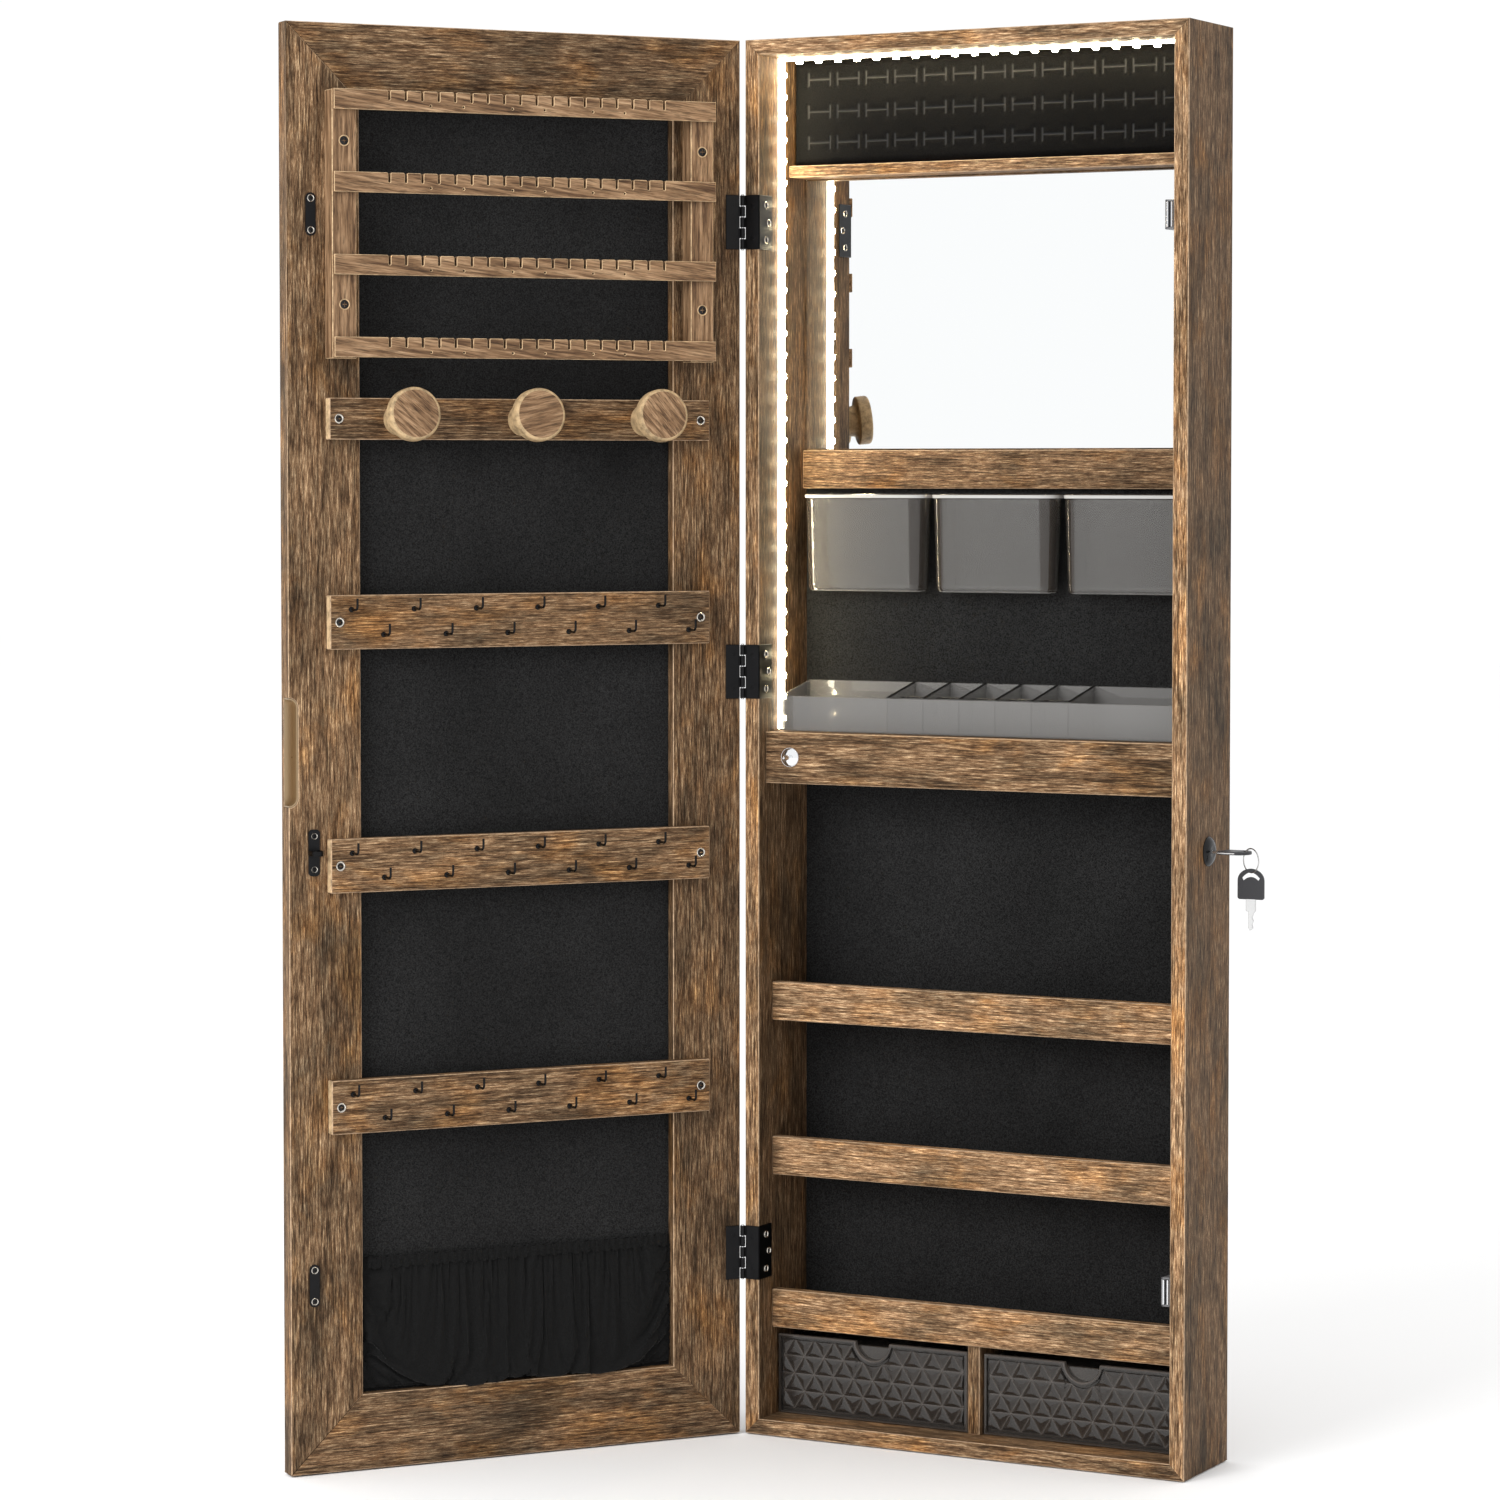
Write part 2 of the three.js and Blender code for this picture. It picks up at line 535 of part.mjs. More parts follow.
function railBoard(z, height) {
  return block([FITTING.from, FITTING.to], [GAP, GAP + RAIL_THICK], [z - height / 2, z + height / 2]);
}

function pegs(group) {
  place(group, "peg_rail", "woodgrain", railBoard(PEG_RAIL.z, PEG_RAIL.height));
  const face = GAP + RAIL_THICK + GAP;
  const { stem, head, length, headThick } = PEG;
  const neck = length - headThick;
  const profile = [
    [0, -4], [stem, -4], [stem, neck - 5], [stem + 2.5, neck - 2], [head - 1.5, neck], [head, neck + 1.5],
    [head, length - 2], [head - 0.8, length - 0.7], [head - 3, length], [0, length],
  ].map(([r, y]) => new THREE.Vector2(r, y));
  PEG_PLACES.forEach((x, i) => {
    const peg = new THREE.LatheGeometry(profile, 24).rotateX(THREE.MathUtils.degToRad(PEG.tilt));
    peg.translate(x, face, PEG_RAIL.z);
    const behindFace = block([x - 30, x + 30], [face - 30, face], [PEG_RAIL.z - 30, PEG_RAIL.z + 30]);
    place(group, `peg_${i + 1}`, "walnut", cut(peg, behindFace));
  });
}

function hookRails(group) {
  const face = GAP + RAIL_THICK;
  const half = HOOK.wire / 2;
  const end = face + HOOK.reach;
  const bend = outline([
    [face - 1, -half], [end - half, -half], [end, half], [end, HOOK.tip],
    [end - HOOK.wire, HOOK.tip], [end - HOOK.wire, half], [face - 1, half],
  ]);
  const hookAt = (x, z) => prism(bend, "x", [x - half, x + half]).translate(0, 0, z);
  HOOK_RAIL.z.forEach((z, i) => {
    const hooks = [];
    for (let k = 0; k < HOOK.count; k++) {
      hooks.push(hookAt(HOOK.upper + k * HOOK.pitch, z + HOOK.rows));
      hooks.push(hookAt(HOOK.lower + k * HOOK.pitch, z - HOOK.rows));
    }
    place(group, `hook_rail_${i + 1}`, "woodgrain", join(railBoard(z, HOOK_RAIL.height), ...hooks));
  });
}

function plates(group) {
  const sheet = [GAP, GAP + 1.2];
  STRIKE.z.forEach((z, i) => {
    const x = [STRIKE.x - STRIKE.width / 2, STRIKE.x + STRIKE.width / 2];
    const plate = block(x, sheet, [z - STRIKE.height / 2, z + STRIKE.height / 2]);
    place(group, `strike_plate_${["upper", "lower"][i]}`, "black", plate);
  });
  const { x, width, height, loop, reach, thick } = KEEPER;
  const foot = block([x - width / 2, x + width / 2], sheet, [LOCK.z - height / 2, LOCK.z + height / 2]);
  const arch = outline([
    [x - loop, GAP], [x + loop, GAP], [x + loop, reach], [x - loop, reach],
  ]);
  arch.holes.push(new THREE.Path([
    [x - loop + thick, sheet[1]], [x - loop + thick, reach - thick],
    [x + loop - thick, reach - thick], [x + loop - thick, sheet[1]],
  ].map(([u, v]) => new THREE.Vector2(u, v))));
  const bridge = prism(arch, "z", [LOCK.z - thick, LOCK.z + thick]);
  place(group, "lock_keeper", "black", join(foot, bridge));
}

// The pocket is open at the top and closed behind by the door panel.
function fabricPocket(group) {
  const x = [FRAME + 0.5, WIDTH - FRAME - 0.5];
  const [bottom, top] = POCKET.z;
  const { cloth, front } = POCKET;
  const bag = block(x, [GROOVE.inner + 0.1, front], [bottom, top]);
  const insideX = [x[0] + cloth, x[1] - cloth];
  const inside = block(insideX, [GROOVE.inner - 1, front - cloth], [bottom + cloth, top + 1]);
  place(group, "fabric_pocket", "cloth", cut(bag, inside));
}

// ---------------------------------------------------------------- hinges

// Three knuckles stand on one pin.
// The case leaf holds the outer two and the pin, the door leaf the middle one.
const KNUCKLE = HINGE.height / 3;
const AXIS = [-WIDTH / 2 - AXIS_OUT, FRONT - AXIS_FRONT];

function caseLeaf(z) {
  const half = HINGE.height / 2;
  const { barrel, pin, sheet, wallLeaf, from } = HINGE;
  const [ax] = AXIS;
  const outerKnuckles = [[z - half, z - KNUCKLE / 2], [z + KNUCKLE / 2, z + half]];
  const frontX = [-WIDTH / 2 + from, LEFT + sheet];
  const overFront = block(frontX, [FRONT - sheet, FRONT], [z - half, z + half]);
  const onWall = block([LEFT, LEFT + sheet], [FRONT - sheet, FRONT + wallLeaf], [z - half, z + half]);
  const knuckles = outerKnuckles.flatMap((span) => [
    rod("z", barrel, span, AXIS, 16),
    block([ax - 0.5, -WIDTH / 2 + from + 1], [FRONT - sheet, FRONT], span),
  ]);
  return join(overFront, onWall, rod("z", pin, [z - half, z + half], AXIS, 12), ...knuckles);
}

// Drawn in the door's own coordinates.
function doorLeaf(z) {
  const { barrel, pin, sheet, doorLeaf: wide, height, from } = HINGE;
  const ax = -AXIS_OUT;
  const ay = DOOR_GAP - AXIS_FRONT;
  const span = [z - KNUCKLE / 2 + 0.2, z + KNUCKLE / 2 - 0.2];
  const plate = block([from, wide], [GAP, GAP + sheet], [z - height / 2, z + height / 2]);
  const knuckle = rod("z", barrel, span, [ax, ay], 16);
  const web = block([ax, from + 1], [GAP, GAP + sheet], span);
  const hole = rod("z", pin + 0.2, [span[0] - 1, span[1] + 1], [ax, ay], 16);
  return cut(join(plate, knuckle, web), hole);
}

function hingeLeaves(caseGroup, doorGroup) {
  HINGE.z.forEach((z, i) => {
    const name = ["upper", "middle", "lower"][i];
    place(caseGroup, `case_hinge_leaf_${name}`, "black", caseLeaf(z));
    place(doorGroup, `door_hinge_leaf_${name}`, "black", doorLeaf(z));
  });
}

// ---------------------------------------------------------------- assembly

const cabinet = new THREE.Group();
const door = new THREE.Group();
door.position.set(AXIS_OUT, AXIS_FRONT - DOOR_GAP, 0);
const doorSwing = new THREE.Group();
doorSwing.position.set(AXIS[0], AXIS[1], 0);
doorSwing.rotation.z = -THREE.MathUtils.degToRad(OPEN_ANGLE);
doorSwing.add(door);
cabinet.add(doorSwing);

caseBoards(cabinet);
backAndHanger(cabinet);
ringsAndMirror(cabinet);
shelves(cabinet);
ledStrip(cabinet);
magneticCatches(cabinet);
doorSwitch(cabinet);
bins(cabinet);
cosmeticTray(cabinet);
drawers(cabinet);
camLock(cabinet);
spareKey(cabinet);
doorFrame(door);
fingerPull(door);
mirrorAndPanel(door);
earringRack(door);
pegs(door);
hookRails(door);
plates(door);
fabricPocket(door);
hingeLeaves(cabinet, door);

export default cabinet;
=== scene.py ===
"""A wall-hung jewelry cabinet with its mirror door open, built up as a joiner would: case, fittings, door."""

import json
import math

import bmesh
import bpy
import numpy as np
from mathutils import Euler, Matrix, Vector


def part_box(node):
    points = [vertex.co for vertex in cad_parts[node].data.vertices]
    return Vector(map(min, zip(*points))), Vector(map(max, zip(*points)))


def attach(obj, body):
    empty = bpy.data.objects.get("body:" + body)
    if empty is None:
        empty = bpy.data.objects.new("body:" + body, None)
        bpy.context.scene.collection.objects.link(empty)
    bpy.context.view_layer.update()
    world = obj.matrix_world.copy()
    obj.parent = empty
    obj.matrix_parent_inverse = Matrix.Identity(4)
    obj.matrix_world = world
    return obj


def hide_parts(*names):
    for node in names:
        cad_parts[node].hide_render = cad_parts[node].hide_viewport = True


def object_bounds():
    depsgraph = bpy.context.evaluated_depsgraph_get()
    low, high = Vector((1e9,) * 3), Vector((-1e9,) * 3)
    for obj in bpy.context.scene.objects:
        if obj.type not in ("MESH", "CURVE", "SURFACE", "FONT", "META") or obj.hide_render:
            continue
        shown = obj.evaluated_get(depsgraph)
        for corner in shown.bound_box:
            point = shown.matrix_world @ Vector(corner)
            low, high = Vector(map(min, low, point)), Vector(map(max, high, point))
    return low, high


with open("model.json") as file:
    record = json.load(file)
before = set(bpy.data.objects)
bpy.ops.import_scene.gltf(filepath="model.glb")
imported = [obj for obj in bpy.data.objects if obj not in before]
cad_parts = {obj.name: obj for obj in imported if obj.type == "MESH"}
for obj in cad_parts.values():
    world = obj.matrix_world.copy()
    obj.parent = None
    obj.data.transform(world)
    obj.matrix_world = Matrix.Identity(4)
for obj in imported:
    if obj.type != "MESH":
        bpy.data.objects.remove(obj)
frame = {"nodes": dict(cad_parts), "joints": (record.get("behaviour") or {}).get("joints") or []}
cad_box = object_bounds()
scene = bpy.context.scene

# ---------------------------------------------------------------- camera, light and floor
# The cabinet stands in a bright white studio on a pale floor, seen from its right with a long lens.
# Soft light comes from all round, and a broad lamp in front gives the boards their shape.

EYE = Vector((1.4707, -3.1946, 0.2083))
TURN = math.radians(27.98)
PITCH = math.radians(2.364)
LENS = 108.83
SHIFT = -0.06

view = bpy.data.cameras.new("camera")
view.lens = LENS
view.sensor_width = 36
view.shift_y = SHIFT
camera = bpy.data.objects.new("camera", view)
camera.location = EYE
camera.rotation_euler = Euler((math.pi / 2 - PITCH, 0, TURN))
scene.collection.objects.link(camera)
scene.camera = camera
scene.view_settings.view_transform = "Standard"

world = bpy.data.worlds.new("studio")
world.use_nodes = True
world.node_tree.nodes["Background"].inputs["Color"].default_value = (1, 1, 1, 1)
world.node_tree.nodes["Background"].inputs["Strength"].default_value = 1.03
scene.world = world


def lamp(name, place, target, size, watts):
    """A square area lamp at a place, facing a target."""
    light = bpy.data.lights.new(name, "AREA")
    light.size = size
    light.energy = watts
    holder = bpy.data.objects.new(name, light)
    holder.location = place
    holder.rotation_euler = (Vector(target) - Vector(place)).to_track_quat("-Z", "Y").to_euler()
    holder.visible_glossy = False
    scene.collection.objects.link(holder)


lamp("front_lamp", (-0.9, -3.4, 1.3), (0, -0.1, 0), 1.6, 85)


def shader(name):
    """A new node material: the material, its node tree and its Principled shader."""
    material = bpy.data.materials.new(name)
    material.use_nodes = True
    tree = material.node_tree
    return material, tree, tree.nodes["Principled BSDF"]


def plain(name, colour, roughness, metallic=0.0, specular=0.5):
    """A shader with constant values, for a caller to add detail to."""
    material, tree, bsdf = shader(name)
    bsdf.inputs["Base Color"].default_value = (*colour, 1)
    bsdf.inputs["Roughness"].default_value = roughness
    bsdf.inputs["Metallic"].default_value = metallic
    bsdf.inputs["Specular IOR Level"].default_value = specular
    return material, tree, bsdf


FLOOR_HALF = 14.0
floor_z = cad_box[0][2] - 0.001  # just clear of the cabinet's foot
corners = [(sx * FLOOR_HALF, sy * FLOOR_HALF, floor_z) for sx, sy in ((-1, -1), (1, -1), (1, 1), (-1, 1))]
floor_mesh = bpy.data.meshes.new("floor")
floor_mesh.from_pydata(corners, [], [(0, 1, 2, 3)])
floor_mesh.materials.append(plain("floor_paint", (0.99, 0.99, 0.99), 0.8, specular=0.2)[0])
floor = bpy.data.objects.new("floor", floor_mesh)
scene.collection.objects.link(floor)

# ---------------------------------------------------------------- case boards
# Four 12 mm boards, mitred at the corners and wrapped in a woodgrain foil: brown with dark and orange
# patches, the grain running along each board. Where the foil turns an edge it is coloured pale, a painted
# highlight, and each board's lightness is painted light and shade.

EDGE = 0.0006  # the small flat on a wrapped edge
MITRE_GAP = 0.0001


def link(tree, source, target):
    tree.links.new(source, target)


def node(tree, kind, **settings):
    """A new node, with its inputs and its own options set by name."""
    made = tree.nodes.new("ShaderNode" + kind)
    for key, value in settings.items():
        if key in made.inputs:
            made.inputs[key].default_value = value
        else:
            setattr(made, key, value)
    return made


def mapping(tree, vector, **settings):
    """A vector moved, turned or scaled by one Mapping node."""
    made = node(tree, "Mapping", vector_type="POINT", **settings)
    link(tree, vector, made.inputs["Vector"])
    return made.outputs["Vector"]


def mapped(tree, turn=0.0, scale=(1, 1, 1), shift=(0, 0, 0), tilt=0.0):
    """Object coordinates turned about z, tilted about y, and then scaled and shifted."""
    place = mapping(tree, node(tree, "TexCoord").outputs["Object"], Rotation=(0, 0, turn))
    if tilt:
        place = mapping(tree, place, Rotation=(0, tilt, 0))
    return mapping(tree, place, Scale=scale, Location=shift)


def noise(tree, vector, scale, detail=3.0, roughness=0.5, distortion=0.0):
    made = node(tree, "TexNoise", Scale=scale, Detail=detail, Roughness=roughness, Distortion=distortion)
    link(tree, vector, made.inputs["Vector"])
    return made.outputs["Fac"]


def ramp(tree, value, *stops):
    """A colour ramp from (position, colour) pairs; a colour is three numbers."""
    made = node(tree, "ValToRGB")
    elements = made.color_ramp.elements
    while len(elements) < len(stops):
        elements.new(0.5)
    for element, (position, colour) in zip(elements, stops):
        element.position = position
        element.color = (*colour, 1)
    link(tree, value, made.inputs["Fac"])
    return made.outputs["Color"]


def scalar_ramp(tree, value, *stops):
    """A ramp of grey values, from (position, value) pairs."""
    return ramp(tree, value, *[(position, (grey,) * 3) for position, grey in stops])


def blend_colours(tree, mode, factor, a, b):
    """a with b laid over it; the factor and b are a socket or a constant."""
    made = node(tree, "Mix", data_type="RGBA", blend_type=mode)
    sockets = {s.identifier: s for s in made.inputs}
    for value, socket in ((factor, "Factor_Float"), (a, "A_Color"), (b, "B_Color")):
        if isinstance(value, bpy.types.NodeSocket):
            link(tree, value, sockets[socket])
        else:
            sockets[socket].default_value = (*value, 1) if isinstance(value, tuple) else value
    return {s.identifier: s for s in made.outputs}["Result_Color"]


def bump(tree, bsdf, height, strength, distance):
    made = node(tree, "Bump", Strength=strength, Distance=distance)
    link(tree, height, made.inputs["Height"])
    link(tree, made.outputs["Normal"], bsdf.inputs["Normal"])


def grained(name, colour, roughness, scale, strength, depth=0.0002, detail=3, metallic=0.0, specular=0.5):
    """Moulded plastic or paint, with a fine grain in its skin."""
    material, tree, bsdf = plain(name, colour, roughness, metallic, specular)
    bump(tree, bsdf, noise(tree, mapped(tree), scale, detail), strength, depth)
    return material


def drifting_gloss(tree, bsdf, scale, detail, low, high):
    """Roughness that drifts between two values in soft clouds."""
    level = node(tree, "MapRange")
    level.inputs["To Min"].default_value = low
    level.inputs["To Max"].default_value = high
    link(tree, noise(tree, mapped(tree), scale, detail), level.inputs["Value"])
    link(tree, level.outputs["Result"], bsdf.inputs["Roughness"])


def along_grain(grain, share):
    """Scale that draws a pattern out along the grain axis."""
    return tuple(share if axis == grain else 1.0 for axis in "xyz")


def foil(name, grain, turn=0.0, seed=0.0, tone_and_painted_light=1.0):
    """Rustic woodgrain foil: fine fibres and wavy figure, with grey and orange patches. Its last argument is
    its lightness, set piece by piece as painted light and shade."""
    material, tree, bsdf = plain(name, (0.2, 0.11, 0.06), 0.6, specular=0.12)
    shift = (seed, seed * 1.7, seed * 0.6)
    fine = mapped(tree, turn, along_grain(grain, 0.075), shift)
    broad = mapped(tree, turn, along_grain(grain, 0.55), shift)
    fibre = noise(tree, fine, 980, 5, 0.85)
    body = ramp(
        tree, fibre,
        (0.36, (0.028, 0.013, 0.006)), (0.45, (0.108, 0.058, 0.028)),
        (0.55, (0.238, 0.142, 0.075)), (0.65, (0.55, 0.385, 0.225)),
    )
    streaks = noise(tree, mapped(tree, turn, along_grain(grain, 0.038), shift), 620, 5, 0.7)
    body = blend_colours(tree, "MULTIPLY", 1.0, body, scalar_ramp(tree, streaks, (0.36, 0.40), (0.61, 1.45)))
    figure = node(tree, "TexWave", bands_direction="DIAGONAL", Scale=16, Distortion=14, Detail=4)
    figure.inputs["Detail Scale"].default_value = 1.6
    link(tree, mapped(tree, turn, along_grain(grain, 0.16), shift), figure.inputs["Vector"])
    lines = scalar_ramp(tree, figure.outputs["Fac"], (0.0, 0.55), (0.30, 1.0), (1.0, 1.10))
    body = blend_colours(tree, "MULTIPLY", 0.7, body, lines)
    grey = scalar_ramp(tree, noise(tree, broad, 19, 6, 0.66), (0.47, 0.0), (0.66, 0.92))
    body = blend_colours(tree, "MULTIPLY", grey, body, (0.42, 0.46, 0.50))
    warm = scalar_ramp(tree, noise(tree, broad, 27, 5, 0.62, 0.4), (0.50, 0.0), (0.70, 0.85))
    body = blend_colours(tree, "MULTIPLY", warm, body, (1.38, 1.10, 0.70))
    # Painted light and shade: the whole foil is made lighter or darker for each piece.
    body = blend_colours(tree, "MULTIPLY", 1.0, body, (tone_and_painted_light, tone_and_painted_light, tone_and_painted_light))
    link(tree, body, bsdf.inputs["Base Color"])
    bump(tree, bsdf, fibre, 0.2, 0.0003)
    return material


def pale_edge(name, colour):
    """A pale, slightly uneven colour: on a foil or walnut edge a painted highlight, on bare wood its own
    colour.
    """
    material, tree, bsdf = plain(name, colour, 0.5, specular=0.3)
    patchy = noise(tree, mapped(tree), 160, 4, 0.7)
    dark = tuple(0.45 * c for c in colour)
    link(tree, ramp(tree, patchy, (0.35, dark), (0.6, colour)), bsdf.inputs["Base Color"])
    return material


def chamfered(section, cut):
    """An outline with each corner made two points, a distance away from it along both of its edges."""
    def toward(other):
        step = other - section
        return section + cut * step / np.linalg.norm(step, axis=1, keepdims=True)
    pairs = np.stack([toward(np.roll(section, 1, 0)), toward(np.roll(section, -1, 0))], 1)
    return pairs.reshape(-1, 2)


def inset(section, by):
    """A counter-clockwise outline drawn inwards: p + by (n1 + n2) / (1 + n1.n2), where n1 and n2 are the
    inward normals of the edges that meet at p."""
    edge = np.roll(section, -1, 0) - section
    normal = np.stack([-edge[:, 1], edge[:, 0]], 1) / np.linalg.norm(edge, axis=1, keepdims=True)
    before = np.roll(normal, 1, 0)
    return section + by * (normal + before) / (1 + (normal * before).sum(1, keepdims=True))


def rectangle(u0, u1, v0, v1):
    return np.array([(u0, v0), (u1, v0), (u1, v1), (u0, v1)], float)


def loft_faces(rings, around):
    """Quads between neighbouring closed rings, and a cap on the first ring and on the last."""
    i = np.arange(around)
    j = np.roll(i, -1)
    starts = np.arange(rings - 1)[:, None] * around
    quads = np.stack([starts + i, starts + j, starts + around + j, starts + around + i], -1)
    return quads.reshape(-1, 4).tolist() + [i[::-1].tolist(), ((rings - 1) * around + i).tolist()]


def piece(name, points, faces, materials, body, stands_for=(), material_of=None, smooth=None):
    """A mesh piece that rides on a body. smooth is the angle in degrees above which an edge stays sharp."""
    mesh = bpy.data.meshes.new(name)
    mesh.from_pydata(np.asarray(points, float).reshape(-1, 3).tolist(), [], faces)
    for material in materials:
        mesh.materials.append(material)
    if material_of is not None:
        mesh.polygons.foreach_set("material_index", np.asarray(material_of, np.int32))
    solid = bmesh.new()
    solid.from_mesh(mesh)
    bmesh.ops.recalc_face_normals(solid, faces=solid.faces)
    solid.to_mesh(mesh)
    solid.free()
    if smooth is not None:
        mesh.polygons.foreach_set("use_smooth", np.ones(len(mesh.polygons), bool))
        mesh.set_sharp_from_angle(angle=math.radians(smooth))
    made = bpy.data.objects.new(name, mesh)
    scene.collection.objects.link(made)
    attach(made, body)
    if stands_for:
        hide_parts(*stands_for)
    return made


def plank(low, high, along, cut=EDGE):
    """A board between two corners: its section, with chamfered corners, is carried along one axis and
    drawn in at both ends. Gives points, faces and each face's kind: 0 side, 1 chamfer, 2 end."""
    axis = "xyz".index(along)
    u, v = [a for a in range(3) if a != axis]
    section = chamfered(rectangle(low[u], high[u], low[v], high[v]), cut)
    small = inset(section, cut)
    rings = [(low[axis], small), (low[axis] + cut, section), (high[axis] - cut, section), (high[axis], small)]
    points = np.zeros((4, 8, 3))
    for ring, (height, outline) in zip(points, rings):
        ring[:, [u, v]] = outline
        ring[:, axis] = height
    edges = np.ones((3, 8), int)
    edges[1, 1::2] = 0
    return points, loft_faces(4, 8), np.append(edges.ravel(), [2, 2])


def mitred(length, section, to_place):
    """A member whose ends are cut at 45 degrees: a section in (distance from the outer edge, thickness),
    carried along its length. Gives points placed by to_place, faces and each face's kind."""
    outline = chamfered(section, EDGE)
    reach = length / 2 - outline[:, 0] - MITRE_GAP
    ends = [np.column_stack([outline, side * reach]) for side in (-1, 1)]
    edges = np.ones((1, len(outline)), int)
    edges[0, 1::2] = 0
    return to_place(np.array(ends)), loft_faces(2, len(outline)), np.append(edges.ravel(), [0, 0])


# Painted highlight: the chamfers where the foil turns an edge are coloured pale, as if catching the light.
foil_edge = pale_edge("foil_edge", (0.50, 0.34, 0.21))
case_low, case_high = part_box("case_left_side")[0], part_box("case_right_side")[1]
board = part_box("case_left_side")[1][0] - case_low[0]
case_section = rectangle(0, board, case_low[1], case_high[1])


def case_member(side, sign):
    """Places (in from the outside, depth, along) on one side of the case."""
    def place(p):
        inward, depth, length = p[..., 0], p[..., 1], p[..., 2]
        if side == "x":
            return np.stack([sign * (case_high[0] - inward), depth, length], -1)
        return np.stack([length, depth, sign * (case_high[2] - inward)], -1)
    return place


case_width, case_height = case_high[0] - case_low[0], case_high[2] - case_low[2]
# Painted shade and light: the sides' foil is darker than the top's and bottom's, and each front edge lighter,
# board by board.
for name, side, sign, length, grain, tone_and_painted_light, front_painted_light in (
    ("left_side_board", "x", -1, case_height, "z", 0.62, 1.2),
    ("right_side_board", "x", 1, case_height, "z", 0.68, 1.5),
    ("top_board", "z", 1, case_width, "x", 1.0, 1.55),
    ("bottom_board", "z", -1, case_width, "x", 1.0, 1.1),
):
    points, faces, material_of = mitred(length, case_section, case_member(side, sign))
    material_of[1] = 2  # the front edge, in a lighter copy of the foil: painted light
    seed = 0.37 * sign + len(name)
    wrap = foil("foil_" + name, grain, seed=seed, tone_and_painted_light=tone_and_painted_light)
    front_wrap = foil("foil_front_" + name, grain, seed=seed + 1, tone_and_painted_light=front_painted_light)
    stands = "case_" + name.replace("_board", "")
    piece(name, points, faces, [wrap, foil_edge, front_wrap], "case", [stands], material_of)

# ---------------------------------------------------------------- back panel, hanging plate and case mirror
# The back is a thin hardboard with black velvet on its front. A zinc plate with two keyholes is let into it.
# The mirror stands on the bin rail, its edges ground to a narrow bevel.


def velvet(name, turn=0.0, backing=None, marks=None, tone_and_painted_light=0.8):
    """Short black pile with a fine speckle. Beyond the y value backing the bare board shows. marks names an
    attribute that lightens the pile where it is cut; the last argument is the pile's lightness, lowered as
    painted shade where the pile lies in shade."""
    material, tree, bsdf = plain(name, (0.018, 0.018, 0.018), 0.95, specular=0.05)
    bsdf.inputs["Sheen Weight"].default_value = 0.04 * tone_and_painted_light
    bsdf.inputs["Sheen Roughness"].default_value = 0.6
    place = mapped(tree, turn)
    pile = noise(tree, place, 1100, 3, 0.8)
    cloudy = noise(tree, place, 9, 3, 0.5)
    colour = scalar_ramp(tree, pile, (0.36, 0.0035 * tone_and_painted_light), (0.64, 0.034 * tone_and_painted_light))
    colour = blend_colours(tree, "MULTIPLY", 1.0, colour, scalar_ramp(tree, cloudy, (0.3, 0.75), (0.7, 1.15)))
    if backing is not None:
        split = node(tree, "SeparateXYZ")
        link(tree, place, split.inputs["Vector"])
        behind = node(tree, "Math", operation="GREATER_THAN")
        behind.inputs[1].default_value = backing
        link(tree, split.outputs["Y"], behind.inputs[0])
        grain = noise(tree, place, 400, 4, 0.7)
        bare = ramp(tree, grain, (0.3, (0.13, 0.075, 0.04)), (0.7, (0.24, 0.15, 0.085)))
        colour = blend_colours(tree, "MIX", behind.outputs[0], colour, bare)
    if marks:
        cut = node(tree, "Attribute", attribute_name=marks)
        colour = blend_colours(tree, "MIX", cut.outputs["Fac"], colour, (0.045, 0.045, 0.045))
    link(tree, colour, bsdf.inputs["Base Color"])
    bump(tree, bsdf, pile, 0.3, 0.0003)
    return material


def finish(name, material):
    """Gives a CAD node its material."""
    frame["nodes"][name].data.materials.clear()
    frame["nodes"][name].data.materials.append(material)


def metal(name, colour, roughness, brush=0.0):
    """Plated metal, slightly clouded in its gloss. brush is the depth of fine lines along z."""
    material, tree, bsdf = plain(name, colour, roughness, 1.0)
    drifting_gloss(tree, bsdf, 120, 3, 0.75 * roughness, 1.35 * roughness)
    if brush:
        bump(tree, bsdf, noise(tree, mapped(tree, 0, (1, 1, 0.02)), 2600, 2), brush, 0.0001)
    return material


def silvered(name):
    """Mirror glass with the faintest haze."""
    material, tree, bsdf = plain(name, (0.93, 0.945, 0.95), 0.0, 1.0)
    drifting_gloss(tree, bsdf, 6, 2, 0.0, 0.02)
    return material


BACK_BARE = -0.0025  # beyond this y the back is bare board
GLASS_BEVEL = 0.0012
finish("back_panel", velvet("back_velvet", backing=BACK_BARE))
finish("hanging_plate", metal("zinc", (0.62, 0.63, 0.65), 0.32))
mirror_glass = silvered("mirror_glass")
glass_edge = plain("ground_glass_edge", (0.72, 0.78, 0.76), 0.25, specular=0.6)[0]
points, faces, material_of = plank(*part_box("case_mirror"), "z", GLASS_BEVEL)
piece("case_mirror_pane", points, faces, [mirror_glass, mirror_glass, glass_edge], "case",
      ["case_mirror"], material_of)

# ---------------------------------------------------------------- ring cushion and shelves
# The cushion is a foam block in black velvet, slit in three rows so that rings stand in it. Rails and shelf
# floors are foil-wrapped boards fixed between the sides; a rail keeps what is on its shelf from falling.

SLIT_ROWS = (0.515, 0.490, 0.466)
SLIT_PITCH = 0.0250
SLIT_LENGTH = 0.0185
SLIT_WIDTH = 0.0012
SLIT_DEEP = 0.0008
TICK_LENGTH = 0.0095
CUSHION_ROUND = 0.006
SWELL = 0.0006


def box_distance(x, z, cx, cz, half_x, half_z):
    """How far points lie outside an upright rectangle; 0 inside it."""
    return np.hypot(np.maximum(abs(x - cx) - half_x, 0), np.maximum(abs(z - cz) - half_z, 0))


